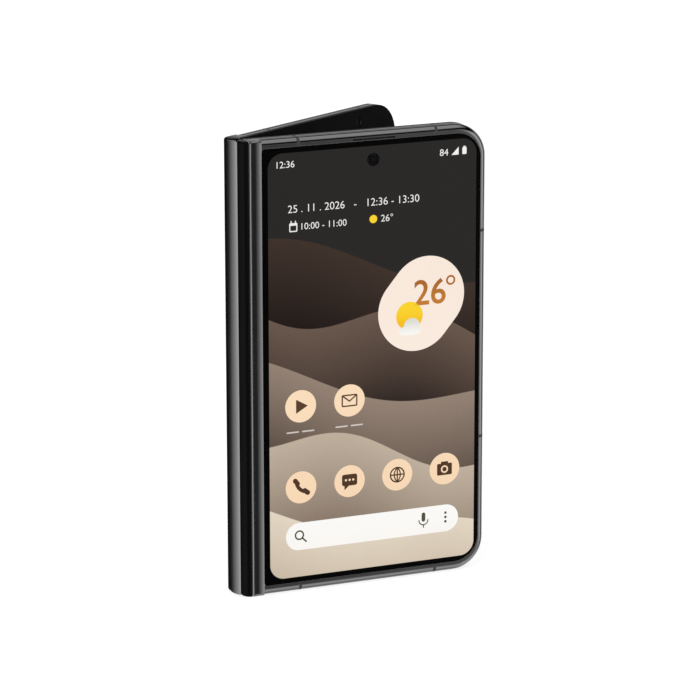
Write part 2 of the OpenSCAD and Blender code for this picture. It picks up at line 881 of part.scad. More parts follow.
module lens_rings() {
    color([0.3, 0.3, 0.32]) in_rear() lens_places() translate([0, 0, face + island_out])
        difference() {
            cylinder(h = lens_out, r = lens_r);
            translate([0, 0, -1]) cylinder(h = lens_out + 2, r = lens_r - ring_w);
        }
}

module camera_modules() {
    color([0.08, 0.08, 0.1]) in_rear() lens_places() {
        translate([0, 0, -glass_in]) cylinder(h = face + island_out - window_t + glass_in, r = module_w / 2);
        translate([-module_w / 2, -module_w / 2, -support_in + fit_gap])
            cube([module_w, module_w, support_in - fit_gap - glass_in]);
    }
}

module flash_lens() {
    color([0.85, 0.82, 0.7]) in_rear() translate([flash_x, -face, lens_z]) rotate([90, 0, 0])
        cylinder(h = island_out - window_t, r = flash_r);
}

module rear_inner_bezel() {
    color([0.04, 0.04, 0.04]) in_rear() inner_bezel(inner_cam_r + fit_gap);
}

module inner_camera() {
    color([0.03, 0.03, 0.04]) in_rear() inner_cam_place() {
        translate([0, 0, 0.1]) cylinder(h = face - film_in - 0.1, r = inner_cam_r);
    }
}

module inner_display_rear() {
    color([0.03, 0.03, 0.04]) in_rear() inner_panel();
}

module rear_support_plate() {
    color([0.5, 0.5, 0.52]) in_rear() support_plate();
}

module rear_battery() {
    color([0.18, 0.19, 0.21]) in_rear() battery(rear_battery_z, rear_battery_h);
}

module main_board() {
    color([0.05, 0.22, 0.12]) in_rear() {
        block([battery_x, web_in, board_z0], [battery_x + main_board_w, web_in + board_t,
            board_z0 + main_board_h]);
    }
}

module shield_cans() {
    can_h = (main_board_h - 6) / 2;
    color([0.65, 0.65, 0.66]) in_rear() for (i = [0, 1]) translate([battery_x + 2,
        web_in + board_t, board_z0 + 2 + i * (can_h + 2)]) cube([main_board_w - 4, can_t, can_h]);
}

module usb_port() {
    color([0.5, 0.5, 0.52]) in_rear() translate([usb_x, usb_y, usb_in]) {
        difference() {
            linear_extrude(usb_depth) slot(usb_w + 2 * usb_wall, usb_h + 2 * usb_wall);
            translate([0, 0, -1]) linear_extrude(usb_depth) slot(usb_w, usb_h);
        }
        translate([-usb_w * 0.4, -usb_tongue_t / 2, 0.8]) cube([usb_w * 0.8, usb_tongue_t, usb_depth - 1.5]);
    }
}

module bottom_speaker() {
    color([0.15, 0.15, 0.16]) in_rear() block([speaker_x - 2, web_in, wall_t + mesh_t],
        [speaker_x + (slot_count - 1) * slot_step + 4, web_in + speaker_t, wall_t + speaker_h]);
}

module speaker_mesh() {
    color([0.2, 0.2, 0.2]) in_rear() block([speaker_x - 1, web_in + 0.1, wall_t],
        [speaker_x + (slot_count - 1) * slot_step + 1, web_in + speaker_t, wall_t + mesh_t]);
}

module vibration_motor() {
    color([0.7, 0.7, 0.7]) in_rear() block([motor_x, web_in, wall_t + motor_gap],
        [motor_x + motor_w, web_in + motor_t, wall_t + motor_gap + motor_h]);
}

module charging_coil() {
    color([0.65, 0.35, 0.15]) in_rear() translate([battery_x + battery_w / 2, 0,
        bay_z0 - coil_gap - coil_r]) rotate([90, 0, 0]) translate([0, 0, -glass_in - coil_t])
        difference() {
            cylinder(h = coil_t, r = coil_r);
            translate([0, 0, -1]) cylinder(h = 2, r = coil_hole_r);
        }
}

module rear_magnets() {
    color([0.6, 0.6, 0.62]) in_rear() magnets();
}

module rear_screws() {
    color([0.45, 0.45, 0.47]) in_rear() arm_screws();
}

module rear_hinge_arms() {
    color([0.55, 0.55, 0.57]) in_rear() hinge_arms();
}

// Buttons

module button_cap(z, len) {
    translate([flange_x, edge_y, z]) rotate([0, 90, 0]) {
        linear_extrude(free_x + button_out - flange_x) slot(len, button_w);
        linear_extrude(flange_t) slot(len + 1.2, button_w + 0.4);
    }
}

module power_button() {
    color([0.13, 0.13, 0.14]) in_rear() difference() {
        button_cap(power_z, power_len);
        translate([free_x + button_out - pad_t, edge_y, power_z]) rotate([0, 90, 0])
            linear_extrude(1) slot(power_len - 1.6, button_w - 0.6);
    }
}

module fingerprint_pad() {
    color([0.02, 0.02, 0.02]) in_rear() translate([free_x + button_out - pad_t, edge_y, power_z])
        rotate([0, 90, 0]) linear_extrude(pad_t) slot(power_len - 1.6, button_w - 0.6);
}

module volume_rocker() {
    color([0.13, 0.13, 0.14]) in_rear() button_cap(volume_z, volume_len);
}

module button_switches() {
    dome_x = flange_x - button_travel - 0.05;
    color([0.55, 0.45, 0.2]) in_rear() {
        block([dome_x - dome_h - strip_t, web_in, volume_z - volume_len / 2],
            [dome_x - dome_h, web_in + 2.4, power_z + power_len / 2]);
        for (z = [volume_z - volume_len / 3, volume_z + volume_len / 3, power_z])
            translate([dome_x - dome_h, edge_y, z]) rotate([0, 90, 0]) cylinder(h = dome_h, r = 1);
    }
}

// Hinge spine

// Half the width of the valley between the two rails, at a distance behind the hinge axes
function valley(x) = pivot_span / 2 - sqrt(pow(face + valley_gap, 2) - x * x);

// One side of the valley, from its floor out to the edge of the crown
valley_side = [for (i = [0:crown_steps]) let (x = spine_in + (crown_edge - spine_in) * i / crown_steps)
    [-x, valley(x)]];
crown_w = valley(crown_edge);
crown_r = (crown_w * crown_w + crown_rise * crown_rise) / (2 * crown_rise);

// Solid cover that fills the valley and stands out of it with a low crown
module spine_cover() {
    color([0.1, 0.1, 0.11]) in_spine() translate([0, 0, 0.3]) linear_extrude(phone_h - 0.6)
        polygon(concat(
            valley_side,
            [for (i = [1:crown_steps - 1]) let (y = crown_w * (1 - 2 * i / crown_steps))
                [crown_r - crown_edge - crown_rise - sqrt(crown_r * crown_r - y * y), y]],
            [for (i = [crown_steps:-1:0]) [valley_side[i][0], -valley_side[i][1]]]));
}

module bracket_shape() {
    difference() {
        union() {
            for (side = [-1, 1]) translate([0, side * pivot_span / 2]) circle(eye_r);
            translate([neck_x, -pivot_span / 2]) square([eye_r - neck_x, pivot_span]);
            translate([neck_x, -2 * gear_r]) square([bracket_x - neck_x, 4 * gear_r]);
            translate([-spine_in, -tongue]) square([spine_in + neck_x + eps, 2 * tongue]);
        }
        for (side = [-1, 1]) {
            translate([0, side * pivot_span / 2]) circle(pin_r + press_gap);
            translate([shaft_x, side * gear_r]) circle(shaft_r + press_gap);
        }
    }
}

module hinge_brackets() {
    color([0.45, 0.46, 0.48]) in_spine() both_ends() for (z = [bracket1_z, bracket2_z])
        translate([0, 0, z]) linear_extrude(bracket_t) bracket_shape();
}

module hinge_pins() {
    color([0.75, 0.75, 0.77]) in_spine() both_ends() for (side = [-1, 1]) {
        translate([0, side * pivot_span / 2, 0]) {
            translate([0, 0, bracket1_z]) cylinder(h = pin_top - bracket1_z, r = pin_r);
            translate([0, 0, spring_z + spring_stack]) cylinder(h = pin_top - spring_z - spring_stack,
                r = pin_head_r);
        }
        translate([shaft_x, side * gear_r, bracket1_z])
            cylinder(h = bracket2_z + bracket_t - bracket1_z, r = shaft_r);
    }
}

module disc_springs() {
    ri = pin_r + run_gap;
    half = spring_stack / 2;
    color([0.35, 0.36, 0.38]) in_spine() both_ends() for (side = [-1, 1])
        translate([0, side * pivot_span / 2, spring_z]) {
            rotate_extrude() polygon([[disc_r, 0], [disc_r, disc_t], [ri, half], [ri, half - disc_t]]);
            translate([0, 0, spring_stack]) mirror([0, 0, 1]) rotate_extrude()
                polygon([[disc_r, 0], [disc_r, disc_t], [ri, half], [ri, half - disc_t]]);
        }
}

module fold_end_caps() {
    color([0.04, 0.04, 0.04]) in_spine() both_ends() block([bracket_x, -cap_half, bracket1_z],
        [bracket_x + cap_t, cap_half, hinge_zone - 0.1]);
}

// The folding strip keeps its length: it leaves each half flat, flares out and turns round the axis
half_open = open_angle / 2;
mid_film = (film_in + film_out) / 2;
lead_dir = 180 - half_open;
turn_dir = lead_dir + flare;
lead_x = bond_x * cos(half_open) + mid_film * sin(half_open);
lead_y = -pivot_span / 2 - bond_x * sin(half_open) + mid_film * cos(half_open);
turn_y = lead_y + flare_r * (cos(lead_dir) - cos(turn_dir));
turn_len = pivot_span / 2 + bond_x - flare_r * flare * PI / 180;
turn_arc = (turn_dir - 90) * PI / 180;
fold_r = (turn_y + turn_len * sin(turn_dir)) / (turn_arc * sin(turn_dir) + cos(turn_dir));
fold_run = turn_len - fold_r * turn_arc;
turn_x = lead_x + flare_r * (sin(turn_dir) - sin(lead_dir)) + fold_run * cos(turn_dir);
centre_x = turn_x + fold_r * sin(turn_dir);

// Points of one side of the path as [x, y, heading]
flare_path = [for (i = [0:flare_steps]) let (d = lead_dir + flare * i / flare_steps)
    [lead_x + flare_r * (sin(d) - sin(lead_dir)), lead_y + flare_r * (cos(lead_dir) - cos(d)), d]];
turn_path = [for (i = [0:turn_steps]) let (d = turn_dir + (90 - turn_dir) * i / turn_steps)
    [centre_x - fold_r * sin(d), fold_r * cos(d), d]];
half_path = concat(flare_path, turn_path);
fold_path = concat(half_path, [for (i = [len(half_path) - 2:-1:0])
    [half_path[i][0], -half_path[i][1], 180 - half_path[i][2]]]);

function beside(p, d) = [p[0] - d * sin(p[2]), p[1] + d * cos(p[2])];

module inner_display_fold() {
    color([0.03, 0.03, 0.04]) in_spine() translate([0, 0, panel_z0])
        linear_extrude(phone_h - 2 * panel_z0) polygon(concat(
            [for (p = fold_path) beside(p, film_t / 2)],
            [for (i = [len(fold_path) - 1:-1:0]) beside(fold_path[i], -film_t / 2)]));
}

front_frame();
front_hinge_rail();
front_antenna_bands();
cover_glass();
cover_display();
display_flex();
front_camera();
earpiece_mesh();
earpiece_speaker();
front_inner_bezel();
inner_display_front();
front_support_plate();
front_battery();
front_board();
front_magnets();
front_screws();
front_hinge_arms();
front_sync_gears();
sim_socket();
sim_tray();
sim_tray_seal();
rear_frame();
rear_hinge_rail();
rear_antenna_bands();
back_glass();
camera_housing();
camera_window();
lens_rings();
camera_modules();
flash_lens();
rear_inner_bezel();
inner_camera();
inner_display_rear();
rear_support_plate();
rear_battery();
main_board();
shield_cans();
usb_port();
bottom_speaker();
speaker_mesh();
vibration_motor();
charging_coil();
rear_magnets();
rear_screws();
rear_hinge_arms();
rear_sync_gears();
button_switches();
power_button();
fingerprint_pad();
volume_rocker();
spine_cover();
hinge_brackets();
hinge_pins();
disc_springs();
fold_end_caps();
inner_display_fold();
idler_gear_a();
idler_gear_b();
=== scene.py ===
"""Book-style folding phone, standing partly open on a white studio table.

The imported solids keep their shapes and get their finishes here. The lit cover screen with its
plain icons, the lens stacks, the flash, the bending strip of the inner display and the studio
are built on top of them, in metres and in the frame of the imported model.
"""
import logging
import math
from dataclasses import dataclass, field
from enum import Enum
from typing import Callable, Iterable, Optional, Sequence, Union

import bmesh
import bpy
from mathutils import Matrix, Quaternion, Vector


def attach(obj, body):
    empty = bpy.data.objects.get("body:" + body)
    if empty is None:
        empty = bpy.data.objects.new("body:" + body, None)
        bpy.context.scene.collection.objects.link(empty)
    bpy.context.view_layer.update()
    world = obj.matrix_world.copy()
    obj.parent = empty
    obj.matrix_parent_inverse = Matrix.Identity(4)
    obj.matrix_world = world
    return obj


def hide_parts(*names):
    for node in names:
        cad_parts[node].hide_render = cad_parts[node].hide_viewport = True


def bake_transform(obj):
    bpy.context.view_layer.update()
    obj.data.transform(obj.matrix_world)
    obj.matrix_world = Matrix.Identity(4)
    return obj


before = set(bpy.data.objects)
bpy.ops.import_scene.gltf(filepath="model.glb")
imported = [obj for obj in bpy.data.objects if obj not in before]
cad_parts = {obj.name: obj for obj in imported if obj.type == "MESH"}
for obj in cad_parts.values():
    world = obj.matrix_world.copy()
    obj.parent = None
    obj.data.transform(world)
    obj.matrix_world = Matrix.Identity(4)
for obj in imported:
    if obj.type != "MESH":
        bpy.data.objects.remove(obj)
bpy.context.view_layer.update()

MM = 0.001
Colour = tuple[float, float, float]
Point = tuple[float, float]
Spot = tuple[float, float, float]
Outline = list[Point]
log = logging.getLogger("folding_phone")


def linear(red: int, green: int, blue: int) -> Colour:
    """Turns a colour written in screen values of 0 to 255 into linear light.

    Args:
        red: Red on the screen.
        green: Green on the screen.
        blue: Blue on the screen.

    Returns:
        The same colour as linear values from 0 to 1.
    """
    def one(value: int) -> float:
        """Turns one screen value into linear light."""
        share = value / 255
        return share / 12.92 if share <= 0.04045 else ((share + 0.055) / 1.055) ** 2.4

    return one(red), one(green), one(blue)


def scaled(colour: Colour, factor: float) -> Colour:
    """Returns a colour made lighter or darker by a factor."""
    return tuple(min(1.0, part * factor) for part in colour)


# Shader arithmetic

def operation(name: str, swapped: bool = False) -> Callable[..., "Signal"]:
    """Makes a method that puts a signal and another number through one Math node.

    Args:
        name: The node's operation.
        swapped: Whether the other number comes first.

    Returns:
        The method.
    """
    def method(self: "Signal", other: "Number" = 0.0) -> "Signal":
        """Returns the result of the Math node."""
        return self.graph.math(name, *((other, self) if swapped else (self, other)))

    return method


class Signal:
    """A number in a shader tree that takes part in Python arithmetic."""
    __add__ = operation("ADD")
    __radd__ = operation("ADD", True)
    __sub__ = operation("SUBTRACT")
    __rsub__ = operation("SUBTRACT", True)
    __mul__ = operation("MULTIPLY")
    __rmul__ = operation("MULTIPLY", True)
    __truediv__ = operation("DIVIDE")
    __abs__ = operation("ABSOLUTE")
    at_most = operation("MINIMUM")
    at_least = operation("MAXIMUM")
    sine = operation("SINE")
    root = operation("SQRT")

    def __init__(self, graph: "Graph", socket: bpy.types.NodeSocket) -> None:
        """Keeps the output socket that carries the number."""
        self.graph = graph
        self.socket = socket

    def rise(self, start: float, end: float) -> "Signal":
        """Returns a smooth step from 0 to 1 while self goes from start to end."""
        node = self.graph.add("ShaderNodeMapRange", {"interpolation_type": "SMOOTHSTEP"},
                              {"Value": self, "From Min": start, "From Max": end})
        return Signal(self.graph, node.outputs["Result"])


Number = Union[Signal, float, int]
Fed = Union[Signal, bpy.types.NodeSocket, float, int, tuple]


class Graph:
    """A shader tree that is built by expressions."""

    def __init__(self, tree: bpy.types.NodeTree) -> None:
        """Empties the tree, ready for new nodes."""
        self.tree = tree
        tree.nodes.clear()

    def feed(self, socket: bpy.types.NodeSocket, value: Fed) -> None:
        """Links or sets one input.

        Args:
            socket: The input that is fed.
            value: A signal or socket to link, or a plain value to set.
        """
        if isinstance(value, Signal):
            self.tree.links.new(value.socket, socket)
        elif isinstance(value, bpy.types.NodeSocket):
            self.tree.links.new(value, socket)
        elif isinstance(value, tuple) and socket.type == "RGBA" and len(value) == 3:
            socket.default_value = (*value, 1.0)
        else:
            socket.default_value = value

    def add(self, kind: str, settings: Optional[dict] = None,
            sockets: Optional[dict] = None) -> bpy.types.Node:
        """Adds a node, sets it up and feeds its inputs.

        Args:
            kind: The node's type.
            settings: The node's own settings.
            sockets: Values or links by the name or number of the input.

        Returns:
            The new node.
        """
        node = self.tree.nodes.new(kind)
        for name, value in (settings or {}).items():
            setattr(node, name, value)
        for name, value in (sockets or {}).items():
            self.feed(node.inputs[name], value)
        return node

    def math(self, operation: str, first: Number, second: Number) -> Signal:
        """Returns the result of one Math node."""
        node = self.add("ShaderNodeMath", {"operation": operation}, {0: first, 1: second})
        return Signal(self, node.outputs[0])

    def blend(self, factor: Number, low: Fed, high: Fed) -> bpy.types.NodeSocket:
        """Returns a colour between low and high."""
        node = self.add("ShaderNodeMix", {"data_type": "RGBA"}, {0: factor, 6: low, 7: high})
        return node.outputs[2]

    def ramp(self, place: Number,
             stops: Sequence[tuple[float, Colour]]) -> bpy.types.NodeSocket:
        """Returns the colour of a straight ramp at a place from 0 to 1.

        Args:
            place: The place on the ramp.
            stops: Place and colour of each stop, in rising order.

        Returns:
            The colour output.
        """
        node = self.add("ShaderNodeValToRGB", None, {"Fac": place})
        elements = node.color_ramp.elements
        elements.remove(elements[-1])
        for count, (position, colour) in enumerate(stops):
            stop = elements[0] if count == 0 else elements.new(position)
            stop.position = position
            stop.color = (*colour, 1.0)
        return node.outputs["Color"]

    def place(self, stretch: Spot = (1, 1, 1),
              turn: Spot = (0, 0, 0)) -> bpy.types.NodeSocket:
        """Returns the place on the object in millimetres, turned and then stretched.

        Args:
            stretch: Factor along each axis.
            turn: Rotation about each axis in radians.

        Returns:
            The vector output.
        """
        start = self.add("ShaderNodeTexCoord").outputs["Object"]
        node = self.add("ShaderNodeMapping", None,
                        {"Vector": start, "Rotation": turn, "Scale": (1000, 1000, 1000)})
        last = self.add("ShaderNodeVectorMath", {"operation": "MULTIPLY"},
                        {0: node.outputs[0], 1: stretch})
        return last.outputs[0]

    def parts(self, vector: bpy.types.NodeSocket) -> tuple[Signal, Signal, Signal]:
        """Splits a vector into its three numbers."""
        node = self.add("ShaderNodeSeparateXYZ", None, {0: vector})
        return tuple(Signal(self, output) for output in node.outputs)

    def noise(self, vector: bpy.types.NodeSocket, scale: float, detail: float = 3.0,
              roughness: float = 0.5, distortion: float = 0.0) -> Signal:
        """Returns soft noise from 0 to 1.

        Args:
            vector: The place that is read.
            scale: Waves per unit of the vector.
            detail: Number of finer layers.
            roughness: Weight of the finer layers.
            distortion: How far the pattern is pulled about.

        Returns:
            The noise as a signal.
        """
        node = self.add("ShaderNodeTexNoise", None, {
            "Vector": vector, "Scale": scale, "Detail": detail, "Roughness": roughness,
            "Distortion": distortion})
        return Signal(self, node.outputs[0])

    def distance(self, vector: bpy.types.NodeSocket, centre: Spot) -> Signal:
        """Returns how far a vector is from a centre."""
        node = self.add("ShaderNodeVectorMath", {"operation": "DISTANCE"}, {0: vector, 1: centre})
        return Signal(self, node.outputs["Value"])

    def rays(self) -> tuple[Signal, Signal]:
        """Tells by which kind of ray the surface is seen.

        Returns:
            1 for camera and transmission rays, and 1 for glossy rays.
        """
        kinds = self.add("ShaderNodeLightPath").outputs
        through = Signal(self, kinds["Is Transmission Ray"])
        return (Signal(self, kinds["Is Camera Ray"]).at_least(through),
                Signal(self, kinds["Is Glossy Ray"]))

    def cells(self, vector: bpy.types.NodeSocket, scale: float) -> Signal:
        """Returns the distance to the nearest cell centre of a Voronoi pattern."""
        node = self.add("ShaderNodeTexVoronoi", None, {"Vector": vector, "Scale": scale})
        return Signal(self, node.outputs["Distance"])

    def soft_edges(self, radius: float) -> bpy.types.NodeSocket:
        """Returns normals that are rounded near the edges, over a radius in millimetres."""
        node = self.add("ShaderNodeBevel", {"samples": 6}, {"Radius": radius * MM})
        return node.outputs[0]

    def bump(self, height: Number, depth: float,
             normal: Optional[bpy.types.NodeSocket] = None) -> bpy.types.NodeSocket:
        """Returns normals tilted by a height from 0 to 1.

        Args:
            height: The height signal.
            depth: Depth in millimetres between heights 0 and 1.
            normal: The normals to start from.

        Returns:
            The normal output.
        """
        sockets: dict = {"Strength": 1.0, "Distance": depth * MM, "Height": height}
        if normal is not None:
            sockets["Normal"] = normal
        return self.add("ShaderNodeBump", None, sockets).outputs[0]

    def surface(self, **sockets: Fed) -> None:
        """Adds the main shader and the output.

        Args:
            **sockets: Inputs of the main shader, with _ for each space in a name.
        """
        shader = self.add("ShaderNodeBsdfPrincipled", None,
                          {name.replace("_", " "): value for name, value in sockets.items()})
        self.add("ShaderNodeOutputMaterial", None, {"Surface": shader.outputs[0]})

    def glow(self, colour: bpy.types.NodeSocket) -> None:
        """Adds a black surface that shines in a colour, as a lit screen does."""
        self.surface(Base_Color=(0.0, 0.0, 0.0), Roughness=0.4, Specular_IOR_Level=0.0,
                     Emission_Color=colour, Emission_Strength=1.0)


# Finishes

@dataclass(frozen=True)
class Finish:
    """A named surface. Each kind says in paint how its shader is built."""
    name: str

    def paint(self, graph: Graph) -> None:
        """Says that each kind of finish has its own shader."""
        raise NotImplementedError

    def material(self) -> bpy.types.Material:
        """Returns the finish as a material, made once."""
        found = bpy.data.materials.get(self.name)
        if found is None:
            found = bpy.data.materials.new(self.name)
            found.use_nodes = True
            self.paint(Graph(found.node_tree))
        return found


class Grain(Enum):
    """Direction in which a metal was brushed or ground."""
    ALONG_Z = (30.0, 30.0, 0.6)
    ALONG_X = (0.6, 30.0, 30.0)
    ROUND = (14.0, 14.0, 14.0)


@dataclass(frozen=True)
class Metal(Finish):
    """Solid metal with fine grinding lines, faint smears and softly broken edges."""
    colour: Colour
    roughness: float
    grain: Grain = Grain.ROUND
    grain_depth: float = 0.0006
    smear: float = 0.06
    edge: float = 0.12
    dark: float = 0.86
    pale: float = 1.12

    def ground(self, graph: Graph) -> tuple[Signal, bpy.types.NodeSocket, Signal]:
        """Builds what grinding and handling leave on the metal.

        Args:
            graph: The graph of the finish.

        Returns:
            The grinding lines, the colour and the roughness.
        """
        lines = graph.noise(graph.place(self.grain.value), 1.0, 4, 0.6)
        clouds = graph.noise(graph.place(), 0.09, 4, 0.55, 0.6)
        colour = graph.blend(lines * 0.6 + clouds * 0.4, scaled(self.colour, self.dark),
                             scaled(self.colour, self.pale))
        rough = self.roughness + clouds.rise(0.42, 0.7) * self.smear + lines * 0.03
        return lines, colour, rough

    def paint(self, graph: Graph) -> None:
        """Builds the shader.

        Args:
            graph: The empty graph of the finish.
        """
        lines, colour, rough = self.ground(graph)
        graph.surface(Base_Color=colour, Metallic=1.0, Roughness=rough,
                      Normal=graph.bump(lines, self.grain_depth, graph.soft_edges(self.edge)))


@dataclass(frozen=True)
class Sided(Metal):
    """Polished metal of one half, with a low crown on the strip beside the hinge.

    Where black is over 0, the metal has a black gloss coat up to that distance from the seam.
    A black line round the edge, between two depths from the half's middle, is painted shade on the lip, in the colour
    of the coat.
    """
    pivot: Point = (0.0, 0.0)
    turn: float = 0.0
    crest: float = 1.9
    reach: float = 1.75
    bend: float = 7.5
    black: float = 0.0
    flip: float = 1.0
    shade_band: Point = (0.0, 0.0)
    shade_band_start: Point = (3.4, 3.8)
    fade: float = 0.1
    lip: float = 0.12
    # Colour of the black coat, which also paints the line of shade round the edge.
    coat: Colour = (0.004, 0.004, 0.0045)

    def paint(self, graph: Graph) -> None:
        """Builds the shader.

        Args:
            graph: The empty graph of the finish.
        """
        lines, colour, rough = self.ground(graph)
        x, y, _ = graph.parts(graph.place())
        lean = math.radians(self.turn)
        out = (x - self.pivot[0]) * math.cos(lean) + (y - self.pivot[1]) * math.sin(lean)
        off = (out - self.crest).at_most(self.reach).at_least(-self.reach)
        crown = graph.bump(off * off * (-0.5 / self.bend), 1.0, graph.soft_edges(self.edge))
        bare = out.rise(-self.black, -self.black + self.lip) if self.black > 0 else 1.0
        # Painted shade: a black band round the edge between two depths, away from the hinge, darkens the lip.
        if self.shade_band[1] > self.shade_band[0]:
            depth = ((y - self.pivot[1]) * math.cos(lean)
                     - (x - self.pivot[0]) * math.sin(lean)) * self.flip
            low, high = self.shade_band
            inside = depth.rise(low - self.fade, low + self.fade)
            inside = inside * (1.0 - depth.rise(high - self.fade, high + self.fade))
            bare = bare * (1.0 - inside * out.rise(*self.shade_band_start))
        graph.surface(Base_Color=graph.blend(bare, self.coat, colour), Metallic=bare,
                      Roughness=rough, Specular_IOR_Level=0.08,
                      Normal=graph.bump(lines, self.grain_depth, crown))


@dataclass(frozen=True)
class Moulded(Finish):
    """Moulded plastic or rubber with a fine spark-eroded grain."""
    colour: Colour
    roughness: float
    grain: float = 9.0
    depth: float = 0.004
    level: float = 0.5

    def paint(self, graph: Graph) -> None:
        """Builds the shader.

        Args:
            graph: The empty graph of the finish.
        """
        speckle = graph.noise(graph.place(), self.grain, 3, 0.6)
        clouds = graph.noise(graph.place(), 0.12, 3)
        graph.surface(
            Base_Color=graph.blend(speckle, scaled(self.colour, 0.8), scaled(self.colour, 1.25)),
            Roughness=self.roughness + (clouds - 0.5) * 0.16,
            Specular_IOR_Level=self.level,
            Normal=graph.bump(speckle, self.depth, graph.soft_edges(0.06)),
        )


@dataclass(frozen=True)
class DarkGlass(Finish):
    """Black-backed glass, polished or frosted, with faint smears under the light."""
    colour: Colour
    roughness: float
    frost: float = 0.0
    coat: float = 0.0
    level: float = 0.35

    def paint(self, graph: Graph) -> None:
        """Builds the shader.

        Args:
            graph: The empty graph of the finish.
        """
        smears = graph.noise(graph.place((1.0, 1.0, 0.6)), 0.07, 5, 0.6, 1.4)
        frost = graph.noise(graph.place(), 24.0, 2, 0.7)
        graph.surface(
            Base_Color=graph.blend(smears.rise(0.3, 0.75), self.colour, scaled(self.colour, 1.3)),
            Roughness=self.roughness + smears.rise(0.45, 0.75) * 0.05 + frost * self.frost,
            Specular_IOR_Level=self.level,
            Coat_Weight=self.coat,
            Coat_Roughness=0.04,
            Normal=graph.bump(frost, 0.002 * self.frost, graph.soft_edges(0.1)),
        )


@dataclass(frozen=True)
class ClearGlass(Finish):
    """Clear coated glass over the cover screen, with faint smears."""

    def paint(self, graph: Graph) -> None:
        """Builds the shader.

        Args:
            graph: The empty graph of the finish.
        """
        smears = graph.noise(graph.place(), 0.06, 5, 0.6, 1.6)
        graph.surface(
            Base_Color=graph.blend(smears.rise(0.4, 0.8), (0.97, 0.98, 0.98), (0.93, 0.94, 0.95)),
            Roughness=smears.rise(0.6, 0.9) * 0.004,
            IOR=1.3,
            Transmission_Weight=1.0,
            Specular_IOR_Level=0.1,
        )


@dataclass(frozen=True)
class Foil(Finish):
    """Dull wrapped foil with creases, as round a battery cell."""
    colour: Colour
    roughness: float = 0.45

    def paint(self, graph: Graph) -> None:
        """Builds the shader.

        Args:
            graph: The empty graph of the finish.
        """
        creases = abs(graph.noise(graph.place(), 0.35, 5, 0.65, 0.8) - 0.5) * 2.0
        speckle = graph.noise(graph.place(), 12.0, 2)
        graph.surface(
            Base_Color=graph.blend(creases, scaled(self.colour, 1.2), scaled(self.colour, 0.75)),
            Metallic=0.6,
            Roughness=self.roughness + speckle * 0.14,
            Normal=graph.bump(creases, 0.05),
        )


@dataclass(frozen=True)
class Board(Finish):
    """Circuit board with tracks under green lacquer and small bright pads."""
    lacquer: Colour
    pad: Colour

    def paint(self, graph: Graph) -> None:
        """Builds the shader.

        Args:
            graph: The empty graph of the finish.
        """
        across, _, up = graph.parts(graph.place(turn=(0, 0, math.radians(-30))))
        tracks = ((up * 3.2 + across.sine() * 0.6).sine() * (across * 2.6).sine()).rise(0.1, 0.2)
        pads = 1.0 - graph.cells(graph.place((0.5, 0.5, 0.5)), 1.0).rise(0.16, 0.22)
        graph.surface(
            Base_Color=graph.blend(pads, graph.blend(tracks, self.lacquer,
                                                     scaled(self.lacquer, 1.9)), self.pad),
            Metallic=pads,
            Roughness=0.5 - pads * 0.2 - tracks * 0.1,
            Normal=graph.bump(tracks + pads, 0.03),
        )


@dataclass(frozen=True)
class Winding(Finish):
    """Flat coil of lacquered copper wire, wound round a centre in the rear half."""
    colour: Colour
    centre: Spot
    pitch: float = 0.5

    def paint(self, graph: Graph) -> None:
        """Builds the shader.

        Args:
            graph: The empty graph of the finish.
        """
        start = graph.place()
        turns = (graph.distance(start, self.centre) * (2 * math.pi / self.pitch)).sine()
        graph.surface(
            Base_Color=graph.blend(turns.rise(-1.0, 0.4), scaled(self.colour, 0.35), self.colour),
            Metallic=0.9,
            Roughness=0.34 + graph.noise(start, 2.0) * 0.1,
            Normal=graph.bump(turns, 0.08),
        )


@dataclass(frozen=True)
class Lit(Finish):
    """Part of the picture on the cover screen that shines by itself, shaded from foot to head."""
    low: Colour
    high: Colour
    foot: float
    head: float
    grain: float = 0.02

    def paint(self, graph: Graph) -> None:
        """Builds the shader.

        Args:
            graph: The empty graph of the finish.
        """
        _, _, up = graph.parts(graph.place())
        shade = up.rise(self.foot, self.head) + (graph.noise(graph.place(), 3.0) - 0.5) * self.grain
        graph.glow(graph.blend(shade, self.low, self.high))


@dataclass(frozen=True)
class Bead(Finish):
    """Coated lens glass, dark in the middle, with painted reflection: a faint blue sheen in the middle and the
    coating's tinted reflection towards its rim.
    """
    centre: Spot
    radius: float
    core: Colour
    rim: Colour
    gloss: float = 0.7

    def paint(self, graph: Graph) -> None:
        """Builds the shader.

        Args:
            graph: The empty graph of the finish.
        """
        share = graph.distance(graph.place(), self.centre) / self.radius
        rings = ((share * 34.0).sine() * 0.5 + 0.5) * share.rise(0.55, 0.9)
        # Painted reflection: the blue sheen in the middle and the tinted coating reflection at the rim are base colour.
        painted_reflection = graph.ramp(share, [(0.0, self.core), (0.45, scaled(self.core, 0.4)),
                                  (0.72, self.rim), (1.0, (0.004, 0.004, 0.005))])
        graph.surface(
            Base_Color=graph.blend(rings * 0.4, painted_reflection, (0.002, 0.002, 0.003)),
            Roughness=0.03 + rings * 0.08,
            Specular_IOR_Level=self.gloss,
            Coat_Weight=self.gloss,
            Coat_Roughness=0.02,
        )


@dataclass(frozen=True)
class Flash(Finish):
    """Ribbed flash lens with a warm glowing layer under it."""
    centre: Spot

    def paint(self, graph: Graph) -> None:
        """Builds the shader.

        Args:
            graph: The empty graph of the finish.
        """
        reach = graph.distance(graph.place(), self.centre)
        ribs = (reach * 16.0).sine() * 0.5 + 0.5
        core = 1.0 - reach.rise(0.4, 0.9)
        graph.surface(
            Base_Color=graph.blend(core, linear(226, 216, 192), linear(236, 188, 84)),
            Roughness=0.22 + ribs * 0.1,
            Coat_Weight=0.8,
            Coat_Roughness=0.05,
            Normal=graph.bump(ribs, 0.06),
        )


